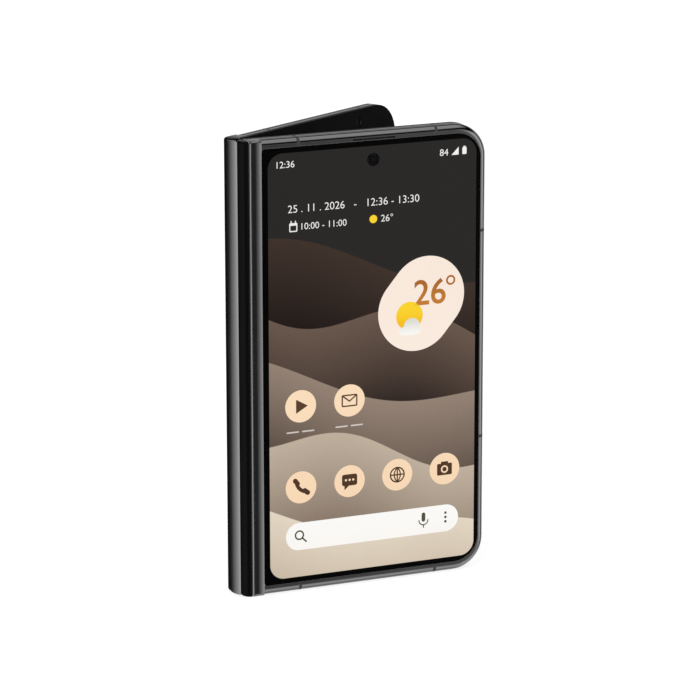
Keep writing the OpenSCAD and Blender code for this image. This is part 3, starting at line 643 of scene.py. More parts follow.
@dataclass(frozen=True)
class Woven(Finish):
    """Fine woven metal gauze behind a sound opening."""
    colour: Colour
    pitch: float = 0.22

    def paint(self, graph: Graph) -> None:
        """Builds the shader.

        Args:
            graph: The empty graph of the finish.
        """
        x, y, z = graph.parts(graph.place())
        step = 2 * math.pi / self.pitch
        threads = abs((x * step).sine()).at_least(abs(((y + z) * step).sine())).rise(0.4, 0.9)
        graph.surface(
            Base_Color=graph.blend(threads, (0.002, 0.002, 0.002), self.colour),
            Metallic=0.8,
            Roughness=0.5 - threads * 0.15,
            Normal=graph.bump(threads, 0.05),
        )


@dataclass(frozen=True)
class Wave:
    """One layer of the screen's picture: the line of its crest and its two shades."""
    height: float
    swing: float
    length: float
    start: float
    crest: Colour
    trough: Colour


@dataclass(frozen=True)
class Waves(Finish):
    """Lit picture of plain overlapping waves that fall to the right, palest at the foot."""
    left: float
    right: float
    foot: float
    head: float
    corner: float
    border: Colour = (0.0006, 0.0006, 0.0007)
    ground: Colour = linear(43, 41, 40)
    fall: float = 0.2
    depth: float = 30.0
    hinge_x: float = -36.85
    soft: float = 0.05
    blur: float = 0.15
    layers: tuple[Wave, ...] = (
        Wave(108.0, 4.0, 92.0, 0.6, linear(64, 51, 44), linear(28, 22, 20)),
        Wave(90.0, 5.0, 74.0, 3.4, linear(106, 88, 77), linear(46, 36, 32)),
        Wave(70.0, 4.5, 98.0, 1.9, linear(150, 132, 118), linear(84, 69, 61)),
        Wave(50.0, 4.0, 66.0, 5.0, linear(194, 178, 160), linear(134, 116, 102)),
        Wave(27.0, 3.5, 84.0, 2.6, linear(230, 217, 198), linear(190, 172, 150)))

    def window(self, x: Signal, z: Signal) -> Signal:
        """Returns 1 inside the lit area and 0 on the black border round it.

        Args:
            x: Distance from the hinge axis.
            z: Height.

        Returns:
            The share of the lit area.
        """
        middle_x, middle_z = (self.left + self.right) / 2, (self.foot + self.head) / 2
        side = (abs(x - middle_x) - ((self.right - self.left) / 2 - self.corner)).at_least(0.0)
        rise = (abs(z - middle_z) - ((self.head - self.foot) / 2 - self.corner)).at_least(0.0)
        gap = (side * side + rise * rise).root()
        return 1.0 - gap.rise(self.corner - self.soft, self.corner + self.soft)

    def paint(self, graph: Graph) -> None:
        """Builds the shader.

        Args:
            graph: The empty graph of the finish.
        """
        vector = graph.place()
        x, _, z = graph.parts(vector)
        x = x - self.hinge_x
        grain = (graph.noise(vector, 1.6, 3, 0.6) - 0.5) * 0.1
        colour: Fed = self.ground
        for wave in self.layers:
            curl = (x * (2 * math.pi / wave.length) + wave.start).sine() * wave.swing
            below = curl + (wave.height - z - x * self.fall)
            shade = graph.blend((below / self.depth).at_most(1.0).at_least(0.0) + grain,
                                wave.crest, wave.trough)
            colour = graph.blend(below.rise(-self.blur, self.blur), colour, shade)
        graph.glow(graph.blend(self.window(x, z), self.border, colour))


# Outlines

def disc(x: float, z: float, radius: float, count: int = 40) -> Outline:
    """Returns a circle as points."""
    return [(x + radius * math.cos(2 * math.pi * i / count),
             z + radius * math.sin(2 * math.pi * i / count)) for i in range(count)]


def arc(x: float, z: float, radius: float, start: float, end: float, count: int = 12) -> Outline:
    """Returns points on part of a circle, from one angle in degrees to another."""
    turns = [math.radians(start + (end - start) * i / count) for i in range(count + 1)]
    return [(x + radius * math.cos(turn), z + radius * math.sin(turn)) for turn in turns]


def round_box(x0: float, z0: float, x1: float, z1: float, radius: float,
              far: Optional[float] = None) -> Outline:
    """Returns a rectangle with round corners.

    Args:
        x0: Left side.
        z0: Foot.
        x1: Right side.
        z1: Head.
        radius: Corner radius, of the left corners where far is given.
        far: Corner radius of the right corners.

    Returns:
        The outline.
    """
    far = radius if far is None else far
    corners = ((x1 - far, z1 - far, far), (x0 + radius, z1 - radius, radius),
               (x0 + radius, z0 + radius, radius), (x1 - far, z0 + far, far))
    return [point for turn, (x, z, size) in enumerate(corners)
            for point in arc(x, z, size, 90 * turn, 90 * turn + 90, 10)]


def bar(x0: float, z0: float, x1: float, z1: float, width: float) -> Outline:
    """Returns a round-ended stroke between two points."""
    lean = math.degrees(math.atan2(z1 - z0, x1 - x0))
    return (arc(x1, z1, width / 2, lean - 90, lean + 90, 8)
            + arc(x0, z0, width / 2, lean + 90, lean + 270, 8))


def band(x: float, z: float, radius: float, width: float, start: float, end: float) -> Outline:
    """Returns a curved stroke with round ends along part of a circle.

    Args:
        x: Middle of the circle.
        z: Height of its middle.
        radius: Radius of the stroke's middle line.
        width: Width of the stroke.
        start: Angle of its first end in degrees.
        end: Angle of its other end in degrees.

    Returns:
        The outline.
    """
    inner, outer = radius - width / 2, radius + width / 2
    tip, foot = arc(x, z, radius, end, end, 1)[0], arc(x, z, radius, start, start, 1)[0]
    return (arc(x, z, outer, start, end, 24)
            + arc(*tip, width / 2, end, end + 180, 6)[1:-1]
            + arc(x, z, inner, end, start, 24)
            + arc(*foot, width / 2, start + 180, start + 360, 6)[1:-1])


# Mesh pieces

@dataclass(frozen=True)
class Carrier:
    """A half or the spine: X from its pivot, depth from its middle, towards a half's inside."""
    body: str
    pivot: Point
    turn: float
    flip: float

    def at(self, x: float, depth: float, z: float) -> Vector:
        """Returns a point of the carrier in metres in the frame of the whole.

        Args:
            x: Distance from the pivot in millimetres.
            depth: Distance from the middle in millimetres.
            z: Height in millimetres.

        Returns:
            The point.
        """
        lean = math.radians(self.turn)
        y = depth * self.flip
        return Vector((self.pivot[0] + x * math.cos(lean) - y * math.sin(lean),
                       self.pivot[1] + x * math.sin(lean) + y * math.cos(lean), z)) * MM


FRONT = Carrier("front_half", (-36.85, 0.0), 0.0, 1.0)
REAR = Carrier("rear_half", (-38.4806, 6.0853), 30.0, -1.0)
SPINE = Carrier("spine", (-37.6653, 3.0426), 15.0, 1.0)
COVER_CAMERA = (39.5, 131.3)
RING_POINTS = 64


def placed(name: str, data: bpy.types.ID) -> bpy.types.Object:
    """Puts a mesh, curve, lamp or camera in the scene and returns its object."""
    thing = bpy.data.objects.new(name, data)
    bpy.context.scene.collection.objects.link(thing)
    return thing


def as_mesh(name: str, build: bmesh.types.BMesh) -> bpy.types.Mesh:
    """Turns what was built into a mesh and frees the builder."""
    mesh = bpy.data.meshes.new(name)
    build.to_mesh(mesh)
    build.free()
    return mesh


def skin(build: bmesh.types.BMesh, rings: Sequence[Sequence[bmesh.types.BMVert]]) -> None:
    """Joins each closed ring of points to the next one, which may be a single tip.

    Args:
        build: The mesh builder.
        rings: The rings in order.
    """
    for low, high in zip(rings, rings[1:]):
        for i in range(len(low)):
            far = [high[0]] if len(high) == 1 else [high[i], high[i - 1]]
            build.faces.new([low[i - 1], low[i], *far])


def as_piece(name: str, mesh: bpy.types.Mesh, finish: Finish, body: Optional[str],
             smooth: bool = False) -> bpy.types.Object:
    """Puts a mesh in the scene as a piece of the phone.

    Args:
        name: The piece's name.
        mesh: Its mesh, in metres in the frame of the whole.
        finish: Its finish.
        body: The body that it moves with, or None for a piece between two bodies, which is left unattached.
        smooth: Whether its faces are shaded smooth.

    Returns:
        The new object.
    """
    piece = placed(name, mesh)
    mesh.materials.append(finish.material())
    mesh.polygons.foreach_set("use_smooth", [smooth] * len(mesh.polygons))
    if body is not None:
        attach(piece, body)
    log.info("%s: %d faces on %s", name, len(mesh.polygons), body or "the fold")
    return piece


def flat_piece(name: str, depth: float, shapes: Iterable[Sequence[Outline]],
               finish: Finish) -> bpy.types.Object:
    """Makes flat shapes of the cover screen that lie at one depth.

    Args:
        name: The piece's name.
        depth: Its depth in the front half.
        shapes: Shapes, each an outline followed by the outlines of its holes.
        finish: Its finish.

    Returns:
        The new object.
    """
    build = bmesh.new()
    for loops in shapes:
        edges = []
        for outline in loops:
            verts = [build.verts.new(FRONT.at(x, depth, z)) for x, z in outline]
            edges += [build.edges.new((verts[i - 1], verts[i])) for i in range(len(verts))]
        bmesh.ops.triangle_fill(build, use_beauty=True, use_dissolve=False, edges=edges)
    bmesh.ops.recalc_face_normals(build, faces=build.faces)
    return as_piece(name, as_mesh(name, build), finish, FRONT.body)


def turned_piece(name: str, half: Carrier, centre: Point, profile: Sequence[Point], finish: Finish) -> bpy.types.Object:
    """Makes a round piece whose axis goes through the thickness of a half.

    Args:
        name: The piece's name.
        half: The half that carries it.
        centre: Its middle as X and Z in the half.
        profile: Radius and depth of each ring, from the rim to the middle.
        finish: Its finish.

    Returns:
        The new object.
    """
    build = bmesh.new()
    rings = []
    for radius, depth in profile:
        ring = disc(*centre, radius, RING_POINTS) if radius > 0 else [centre]
        rings.append([build.verts.new(half.at(x, depth, z)) for x, z in ring])
    skin(build, rings)
    bmesh.ops.recalc_face_normals(build, faces=build.faces)
    return as_piece(name, as_mesh(name, build), finish, half.body, smooth=True)


def numerals(name: str, text: str, left: float, foot: float, height: float, depth: float,
             finish: Finish, weight: float = 0.0) -> bpy.types.Object:
    """Makes plain numerals on the cover screen.

    Args:
        name: The piece's name.
        text: Digits and marks.
        left: X of the first digit's left side.
        foot: Z of the line that the digits stand on.
        height: Height of a digit.
        depth: Depth in the front half.
        finish: Its finish.
        weight: How far the strokes are thickened, in the font's own units.

    Returns:
        The new object.
    """
    curve = bpy.data.curves.new(name, "FONT")
    curve.body = text
    curve.resolution_u = 5
    curve.offset = weight
    holder = placed(name, curve)
    bpy.context.view_layer.update()
    shape = holder.evaluated_get(bpy.context.evaluated_depsgraph_get())
    mesh = bpy.data.meshes.new_from_object(shape)
    bpy.data.objects.remove(holder)
    start = min(vert.co.x for vert in mesh.vertices)
    tall = max(vert.co.y for vert in mesh.vertices) - min(0.0, min(v.co.y for v in mesh.vertices))
    size = height / tall
    for vert in mesh.vertices:
        vert.co = FRONT.at(left + (vert.co.x - start) * size, depth, foot + vert.co.y * size)
    return as_piece(name, mesh, finish, FRONT.body)


# Finishes of this phone

STEEL_BLACK = Metal("polished_black_steel", (0.46, 0.46, 0.47), 0.07, Grain.ALONG_Z, edge=0.1)
SPINE_STEEL = Metal("polished_spine", (0.5, 0.5, 0.51), 0.1, Grain.ALONG_Z, edge=0.08)
HOUSING_BLACK = Metal("satin_housing", (0.2, 0.2, 0.205), 0.24, Grain.ALONG_Z, 0.001)
RING_METAL = Metal("turned_ring", (0.36, 0.36, 0.37), 0.16, Grain.ROUND, 0.0012, edge=0.1)
HINGE_STEEL = Metal("blackened_steel", (0.1, 0.1, 0.105), 0.34, Grain.ALONG_X, 0.004)
GEAR_BRASS = Metal("cut_brass", (0.36, 0.26, 0.13), 0.34, Grain.ROUND, 0.003)
PLATE_STEEL = Metal("rolled_plate", (0.5, 0.5, 0.5), 0.38, Grain.ALONG_Z, 0.004)
NICKEL = Metal("plated_magnet", (0.58, 0.57, 0.54), 0.22, Grain.ROUND, 0.002)
FLEX_COPPER = Metal("flat_cable", (0.55, 0.3, 0.12), 0.42, Grain.ALONG_Z, 0.003)
ANTENNA = Moulded("antenna_plastic", (0.003, 0.003, 0.0033), 0.42, level=0.08)
BEZEL = Moulded("satin_bezel", (0.0032, 0.0032, 0.0036), 0.34, 12.0, 0.002, 0.1)
RUBBER = Moulded("seal_rubber", (0.012, 0.012, 0.012), 0.7, 7.0, 0.006)
DEEP_BLACK = Moulded("lens_barrel", (0.003, 0.003, 0.0035), 0.36, level=0.05)
BACK_GLASS = DarkGlass("frosted_back_glass", (0.009, 0.009, 0.010), 0.3, 0.12, 0.25, 0.4)
WINDOW_GLASS = DarkGlass("camera_window_glass", (0.002, 0.002, 0.0023), 0.04, 0.0, 0.6, 0.4)
INNER_GLASS = DarkGlass("inner_display_film", (0.0016, 0.0016, 0.002), 0.05, 0.02, 0.3, 0.1)
COVER_GLASS = ClearGlass("clear_cover_glass")
PANEL = DarkGlass("display_panel_edge", (0.002, 0.002, 0.002), 0.3)
CELL_FOIL = Foil("cell_foil", (0.1, 0.11, 0.12))
BOARD = Board("circuit_board", (0.004, 0.05, 0.02), (0.7, 0.55, 0.28))
GAUZE = Woven("sound_gauze", (0.1, 0.1, 0.105))
GLYPH = Lit("icon_brown", linear(74, 52, 38), linear(92, 66, 48), 10, 70)
PEACH = Lit("icon_peach", linear(251, 219, 184), linear(254, 224, 190), 20, 62)
WHITE = Lit("status_white", linear(236, 234, 232), linear(246, 245, 243), 100, 134)
CREAM = Lit("widget_cream", linear(254, 238, 226), linear(253, 236, 222), 70, 98)
FIELD = Lit("search_cream", linear(254, 250, 246), linear(254, 252, 249), 11, 21)
OLIVE = Lit("search_olive", linear(66, 70, 52), linear(84, 84, 64), 12, 20)
AMBER = Lit("numeral_amber", linear(196, 126, 54), linear(172, 102, 42), 85, 94)
SUN = Lit("sun_yellow", linear(250, 176, 20), linear(254, 214, 48), 76, 85)
CLOUD = Lit("cloud_white", linear(254, 251, 246), linear(222, 221, 212), 76, 82)
CAPTION = Lit("caption_white", linear(204, 196, 190), linear(214, 206, 200), 46, 52)


def dress(finish: Finish, *nodes: str) -> None:
    """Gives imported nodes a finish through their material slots.

    Args:
        finish: The finish.
        *nodes: Names of the nodes.
    """
    for name in nodes:
        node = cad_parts[name]
        if not node.material_slots:
            node.data.materials.append(finish.material())
        for place in node.material_slots:
            place.material = finish.material()
        log.info("%s: %s", name, finish.name)


# Sub-assemblies

@dataclass
class Shells:
    """Spine cover, frames, rails, antenna bands, bezels and back glass."""

    def dress(self) -> None:
        """Dresses the shells."""
        dress(SPINE_STEEL, "spine_cover")
        for half, side in ((FRONT, "front"), (REAR, "rear")):
            place = {"pivot": half.pivot, "turn": half.turn, "flip": half.flip}
            # Each frame gets a band of painted shade round its edge, between depths -0.6 and 0.3 mm.
            dress(Sided(f"{side}_frame_steel", (0.46, 0.46, 0.47), 0.06, Grain.ALONG_Z, edge=0.12,
                        shade_band=(-0.6, 0.3), **place), f"{side}_frame")
            dress(Sided(f"{side}_rail_coat", (0.5, 0.5, 0.51), 0.08, Grain.ALONG_Z, edge=0.05,
                        crest=-0.35, reach=0.6, bend=1.2, black=0.45, **place),
                  f"{side}_hinge_rail")
        dress(ANTENNA, "front_antenna_bands", "rear_antenna_bands")
        dress(BEZEL, "front_inner_bezel", "rear_inner_bezel", "fold_end_caps")
        dress(BACK_GLASS, "back_glass")


@dataclass
class Buttons:
    """Power button with its finger pad, and the volume rocker."""

    def dress(self) -> None:
        """Dresses the buttons and their switches."""
        dress(STEEL_BLACK, "power_button", "volume_rocker")
        dress(DarkGlass("finger_pad", (0.003, 0.003, 0.0035), 0.18, 0.04), "fingerprint_pad")
        dress(FLEX_COPPER, "button_switches")


@dataclass
class HingeWorks:
    """Arms, brackets, pins, springs and gears in the spine."""

    def dress(self) -> None:
        """Dresses the hinge."""
        dress(HINGE_STEEL, "front_hinge_arms", "rear_hinge_arms", "hinge_brackets", "hinge_pins",
              "disc_springs", "front_screws", "rear_screws", "idler_gear_a", "idler_gear_b")
        dress(GEAR_BRASS, "front_sync_gears", "rear_sync_gears")


@dataclass
class Insides:
    """Batteries, boards, speakers, tray and other pieces inside the halves."""
    coil: Spot = tuple(REAR.at(38, -2.0, 63.0) / MM)

    def dress(self) -> None:
        """Dresses the inside pieces."""
        dress(CELL_FOIL, "front_battery", "rear_battery")
        dress(BOARD, "front_board", "main_board")
        dress(PLATE_STEEL, "front_support_plate", "rear_support_plate", "shield_cans",
              "sim_socket", "usb_port", "vibration_motor")
        dress(NICKEL, "front_magnets", "rear_magnets")
        dress(FLEX_COPPER, "display_flex")
        dress(DEEP_BLACK, "earpiece_speaker", "bottom_speaker", "camera_modules")
        dress(GAUZE, "earpiece_mesh", "speaker_mesh")
        dress(STEEL_BLACK, "sim_tray")
        dress(RUBBER, "sim_tray_seal")
        dress(Winding("coil_wire", (0.62, 0.3, 0.12), self.coil), "charging_coil")


@dataclass
class CameraIsland:
    """Camera housing, window, three lens stacks and flash, and the two small cameras."""
    lens_x: float = 52.6
    lens_z: float = 104.7
    lens_step: float = 13.0
    face: float = -4.5
    flash_x: float = 62.9
    flash_depth: float = -4.0
    cover_camera: Point = COVER_CAMERA
    inner_camera: Point = (58.0, 135.675)
    barrel: tuple[Point, ...] = (
        (3.86, 0.02), (3.86, 0.44), (3.56, 0.46), (3.44, 0.3), (3.0, 0.28), (2.92, 0.16),
        (2.5, 0.14), (2.4, 0.05), (1.9, 0.04))
    glass: tuple[Point, ...] = (
        (2.42, 0.06), (2.3, 0.13), (2.0, 0.2), (1.5, 0.26), (0.8, 0.3), (0.0, 0.31))
    ribs: tuple[Point, ...] = (
        (1.62, 0.005), (1.6, 0.05), (1.45, 0.08), (0.9, 0.06), (0.5, 0.05), (0.0, 0.045))
    cover_dome: tuple[Point, ...] = (
        (1.9, -2.305), (1.5, -2.31), (1.48, -2.33), (0.9, -2.36), (0.0, -2.38))
    inner_dome: tuple[Point, ...] = (
        (1.4, 2.805), (1.15, 2.81), (1.1, 2.83), (0.6, 2.86), (0.0, 2.87))

    def raised(self, profile: Sequence[Point]) -> list[Point]:
        """Returns a profile of radius and rise as radius and depth in the rear half."""
        return [(radius, self.face - rise) for radius, rise in profile]

    def build_lens(self, name: str, z: float) -> None:
        """Builds the stepped barrel and the glass of one lens.

        Args:
            name: Ending of the pieces' names.
            z: Height of the lens.
        """
        centre = (self.lens_x, z)
        turned_piece(f"lens_barrel_{name}", REAR, centre, self.raised(self.barrel), DEEP_BLACK)
        middle = tuple(REAR.at(self.lens_x, self.face - 0.1, z) / MM)
        # Lens colours are painted reflection: blue sheen in the middle, purple coating reflection at the rim.
        glass = Bead(f"lens_painted_reflection_{name}", middle, 2.45, linear(28, 34, 58), linear(58, 30, 70))
        turned_piece(f"lens_glass_{name}", REAR, centre, self.raised(self.glass), glass)

    def build(self) -> None:
        """Builds the lens stacks, the flash and the two small cameras."""
        for step, name in ((-1, "low"), (0, "middle"), (1, "high")):
            self.build_lens(name, self.lens_z + step * self.lens_step)
        middle = tuple(REAR.at(self.flash_x, self.face, self.lens_z) / MM)
        turned_piece("flash_cover", REAR, (self.flash_x, self.lens_z), self.raised(self.ribs),
                     Flash("flash_ribs", middle))
        x, z = self.cover_camera
        front = tuple(FRONT.at(x, -2.34, z) / MM)
        # The cover camera's faint blue-grey middle is a painted reflection.
        turned_piece(
            "cover_camera_glass", FRONT, (x, z), self.cover_dome,
            Bead("cover_camera_painted_reflection", front, 1.5, linear(12, 14, 19), linear(4, 4, 7), 0.02))
        x, z = self.inner_camera
        inner = tuple(REAR.at(x, 2.8, z) / MM)
        # The inner camera's faint blue-grey middle is a painted reflection.
        turned_piece(
            "inner_camera_glass", REAR, (x, z), self.inner_dome,
            Bead("inner_camera_painted_reflection", inner, 1.15, linear(20, 22, 30), linear(10, 10, 16), 0.1))

    def dress(self) -> None:
        """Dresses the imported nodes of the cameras."""
        dress(HOUSING_BLACK, "camera_housing")
        dress(WINDOW_GLASS, "camera_window")
        dress(RING_METAL, "lens_rings")
        dress(DEEP_BLACK, "front_camera", "inner_camera")
        layer = tuple(REAR.at(self.flash_x, self.flash_depth, self.lens_z) / MM)
        dress(Flash("flash_layer", layer), "flash_lens")


class Glyph(Enum):
    """Plain pictures on the icons of the cover screen."""
    PLAY = "play"
    LETTER = "letter"
    CALL = "call"
    TALK = "talk"
    WORLD = "world"
    PHOTO = "photo"

    def shapes(self, x: float, z: float) -> list[list[Outline]]:
        """Returns the picture's shapes, each an outline and its holes.

        Args:
            x: Middle of the icon in the half.
            z: Height of its middle.

        Returns:
            The shapes.
        """
        if self is Glyph.PLAY:
            return [[[(x - 1.5, z - 2.2), (x + 2.3, z), (x - 1.5, z + 2.2)]]]
        if self is Glyph.LETTER:
            return [[round_box(x - 2.6, z - 1.9, x + 2.6, z + 1.9, 0.5),
                     round_box(x - 2.15, z - 1.45, x + 2.15, z + 1.45, 0.1)],
                    [bar(x - 2.2, z + 1.5, x, z - 0.2, 0.45)],
                    [bar(x + 2.2, z + 1.5, x, z - 0.2, 0.45)]]
        if self is Glyph.CALL:
            return [[band(x + 2.2, z + 2.2, 3.75, 1.15, 184, 266)],
                    [bar(x - 1.9, z + 2.2, x - 1.1, z + 1.2, 1.5)],
                    [bar(x + 1.2, z - 1.1, x + 2.2, z - 1.9, 1.5)]]
        if self is Glyph.TALK:
            dots = [disc(x + step, z + 0.4, 0.36) for step in (-1.2, 0.0, 1.2)]
            return [[round_box(x - 2.5, z - 1.4, x + 2.5, z + 2.2, 0.7), *dots],
                    [[(x - 1.7, z - 1.4), (x - 0.2, z - 1.4), (x - 1.7, z - 2.7)]]]
        if self is Glyph.WORLD:
            return [[disc(x, z, 2.5), disc(x, z, 2.05)], [bar(x - 2.1, z, x + 2.1, z, 0.42)],
                    [bar(x, z - 2.1, x, z + 2.1, 0.42)],
                    [band(x - 2.0, z, 3.0, 0.4, -42, 42)], [band(x + 2.0, z, 3.0, 0.4, 138, 222)]]
        return [[round_box(x - 2.5, z - 2.0, x + 2.5, z + 1.7, 0.4), disc(x, z - 0.15, 1.2)],
                [disc(x, z - 0.15, 0.72)], [round_box(x - 1.2, z + 1.6, x + 1.2, z + 2.3, 0.2)]]


@dataclass
class Icon:
    """Round icon on the cover screen."""
    name: str
    glyph: Glyph
    x: float
    z: float
    radius: float = 5.0
    captioned: bool = False

    def build(self, depth: float) -> None:
        """Builds the disc, its picture and its caption.

        Args:
            depth: Depth of the disc in the front half.
        """
        flat_piece(f"icon_{self.name}_disc", depth,
                   [[disc(self.x, self.z, self.radius, 56)]], PEACH)
        flat_piece(f"icon_{self.name}_picture", depth - 0.012,
                   self.glyph.shapes(self.x, self.z), GLYPH)
        if self.captioned:
            foot = self.z - self.radius - 2.9
            flat_piece(f"icon_{self.name}_caption", depth, [
                [bar(self.x - 4.4, foot, self.x - 0.8, foot, 0.45)],
                [bar(self.x + 0.6, foot, self.x + 4.2, foot, 0.45)]], CAPTION)


@dataclass
class CoverScreen:
    """Cover glass with the lit picture, status line, weather widget, icons and search field."""
    left: float = 5.67
    right: float = 73.27
    foot: float = 4.5
    head: float = 135.4
    corner: float = 4.6
    picture_depth: float = -2.325
    layer: float = 0.015
    icons: list[Icon] = field(default_factory=lambda: [
        Icon("play", Glyph.PLAY, 15.8, 57.9, captioned=True),
        Icon("letter", Glyph.LETTER, 31.7, 58.0, captioned=True),
        Icon("call", Glyph.CALL, 15.8, 32.6), Icon("talk", Glyph.TALK, 31.7, 32.7),
        Icon("world", Glyph.WORLD, 47.5, 32.9), Icon("photo", Glyph.PHOTO, 63.3, 33.0)])

    def build_picture(self) -> None:
        """Builds the lit picture with its black border and the hole for the camera."""
        picture = Waves("screen_picture", self.left, self.right, self.foot, self.head,
                        self.corner)
        flat_piece("screen_picture", self.picture_depth, [[
            round_box(3.8, 3.2, 74.3, 137.0, 0.9, 7.6), disc(*COVER_CAMERA, 2.0, 48)]], picture)

    def build_status(self, depth: float) -> None:
        """Builds the clock, signal and battery marks and the two lines below.

        Args:
            depth: Depth of the marks in the front half.
        """
        numerals("clock_digits", "12:36", 8.5, 131.0, 2.0, depth, WHITE)
        numerals("charge_digits", "84", 61.2, 130.6, 2.05, depth, WHITE)
        flat_piece("signal_mark", depth, [[[(65.0, 130.6), (67.4, 130.6), (67.4, 133.0)]]], WHITE)
        flat_piece("battery_mark", depth, [
            [round_box(68.6, 130.6, 70.0, 132.7, 0.25)],
            [round_box(68.9, 132.7, 69.7, 133.1, 0.1)]], WHITE)
        numerals("date_digits", "25 . 11 . 2026   -   12:36 - 13:30", 12.0, 117.3, 2.3, depth,
                 WHITE, -0.004)
        flat_piece("calendar_mark", depth, [
            [round_box(12.4, 111.5, 15.0, 114.2, 0.35),
             round_box(12.75, 111.85, 14.65, 113.4, 0.1)],
            [bar(13.0, 114.1, 13.0, 114.7, 0.35)], [bar(14.4, 114.1, 14.4, 114.7, 0.35)]], WHITE)
        numerals("hours_digits", "10:00 - 11:00", 16.3, 112.0, 2.0, depth, WHITE)
        flat_piece("line_sun", depth, [[disc(39.5, 113.2, 1.25)]], SUN)
        numerals("line_degrees", "26°", 42.0, 112.2, 2.2, depth, WHITE)

    def build_widget(self, depth: float) -> None:
        """Builds the weather widget.

        Args:
            depth: Depth of its cream field in the front half.
        """
        x, z, radius = 55.3, 85.8, 12.3
        flat_piece("weather_field", depth, [[
            arc(x + 1.9, z + 2.25, radius, -40, 140, 40)
            + arc(x - 1.9, z - 2.25, radius, 140, 320, 40)]], CREAM)
        numerals("weather_digits", "26", 52.9, 85.4, 8.0, depth - self.layer, AMBER, 0.012)
        flat_piece("weather_ring", depth - self.layer, [
            [disc(65.0, 92.2, 1.55), disc(65.0, 92.2, 0.95)]], AMBER)
        flat_piece("weather_sun", depth - self.layer, [[disc(51.4, 82.3, 4.4, 56)]], SUN)
        flat_piece("weather_cloud", depth - 2 * self.layer, [
            [round_box(47.9, 76.4, 55.0, 79.0, 1.25)]], CLOUD)
        flat_piece("weather_cloud_top", depth - 2.6 * self.layer, [[disc(52.2, 78.9, 2.7)]],
                   CLOUD)

    def build_search(self, depth: float) -> None:
        """Builds the search field with its three marks.

        Args:
            depth: Depth of the field in the front half.
        """
        flat_piece("search_field", depth, [[round_box(10.8, 12.9, 68.0, 21.5, 4.29)]], FIELD)
        marks = depth - self.layer
        flat_piece("search_mark", marks, [
            [disc(15.2, 17.6, 1.55), disc(15.2, 17.6, 1.05)],
            [bar(16.3, 16.5, 17.4, 15.4, 0.5)]], OLIVE)
        flat_piece("speak_mark", marks, [
            [bar(56.3, 17.5, 56.3, 19.2, 1.25)], [band(56.3, 17.4, 1.5, 0.36, 180, 360)],
            [bar(56.3, 15.1, 56.3, 15.9, 0.36)]], OLIVE)
        flat_piece("menu_mark", marks, [
            *([disc(63.7, 17.5 + step, 0.42)] for step in (-1.4, 0.0, 1.4))], OLIVE)

    def build(self) -> None:
        """Builds the screen from back to front."""
        depth = self.picture_depth - self.layer
        self.build_picture()
        self.build_status(depth)
        self.build_widget(depth)
        for icon in self.icons:
            icon.build(depth)
        self.build_search(depth)

    def dress(self) -> None:
        """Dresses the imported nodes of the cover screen."""
        dress(COVER_GLASS, "cover_glass")
        dress(PANEL, "cover_display")


@dataclass
class FoldingDisplay:
    """Inner folding display: its two flat parts and the strip that bends round the hinge."""
    start: Point = (3.5, 1.68)
    heading: float = 165.0
    flare: float = 20.0
    flare_radius: float = 3.0
    run: float = 2.145
    radius: float = 1.783
    thickness: float = 0.45
    foot: float = 6.9
    head: float = 132.8
    seam: float = -11.18
    level: float = 70.0
    steps: tuple[int, int, int] = (16, 6, 24)
    sharp: float = 40.0

    def path(self) -> list[Spot]:
        """Returns the front half of the strip's path as X, Y and heading in degrees."""
        points, (x, y) = [], (self.start[0], -self.start[1])
        first = math.radians(self.heading)
        flares, runs, bends = self.steps
        for i in range(flares + 1):
            lean = first + math.radians(self.flare) * i / flares
            points.append((x + self.flare_radius * (math.sin(lean) - math.sin(first)),
                           y + self.flare_radius * (math.cos(first) - math.cos(lean)),
                           math.degrees(lean)))
        x, y, last = points[-1]
        for i in range(1, runs + 1):
            gone = self.run * i / runs
            points.append((x + gone * math.cos(math.radians(last)),
                           y + gone * math.sin(math.radians(last)), last))
        x, y, last = points[-1]
        middle = x + self.radius * math.sin(math.radians(last))
        for i in range(1, bends + 1):
            lean = math.radians(last + (90.0 - last) * i / bends)
            points.append((middle - self.radius * math.sin(lean), self.radius * math.cos(lean),
                           math.degrees(lean)))
        return points

    def build_side(self, name: str, mirror: float) -> bpy.types.Object:
        """Builds the strip from one half to the middle of the fold.

        Args:
            name: The piece's name.
            mirror: 1 for the side of the front half and -1 for the other.

        Returns:
            The new object.
        """
        build = bmesh.new()
        rows = []
        for x, y, lean in self.path():
            turn = math.radians(lean)
            corners = []
            for side in (-0.5, 0.5):
                offset = side * self.thickness
                place = (x - offset * math.sin(turn), (y + offset * math.cos(turn)) * mirror)
                corners += [build.verts.new(SPINE.at(*place, self.foot)),
                            build.verts.new(SPINE.at(*place, self.head))]
            rows.append([corners[0], corners[1], corners[3], corners[2]])
        skin(build, rows)
        build.faces.new(rows[0])
        build.faces.new(reversed(rows[-1]))
        bmesh.ops.recalc_face_normals(build, faces=build.faces)
        mesh = as_mesh(name, build)
        mesh.set_sharp_from_angle(angle=math.radians(self.sharp))
        piece = as_piece(name, mesh, INNER_GLASS, None, smooth=True)
        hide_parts("inner_display_fold")
        return piece

    def build(self) -> None:
        """Builds both sides of the strip."""
        front = self.build_side("display_fold_front", 1.0)
        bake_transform(front)
        rear = self.build_side("display_fold_rear", -1.0)
        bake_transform(rear)

    def dress(self) -> None:
        """Dresses the flat parts of the display."""
        dress(INNER_GLASS, "inner_display_front", "inner_display_rear")


# Studio

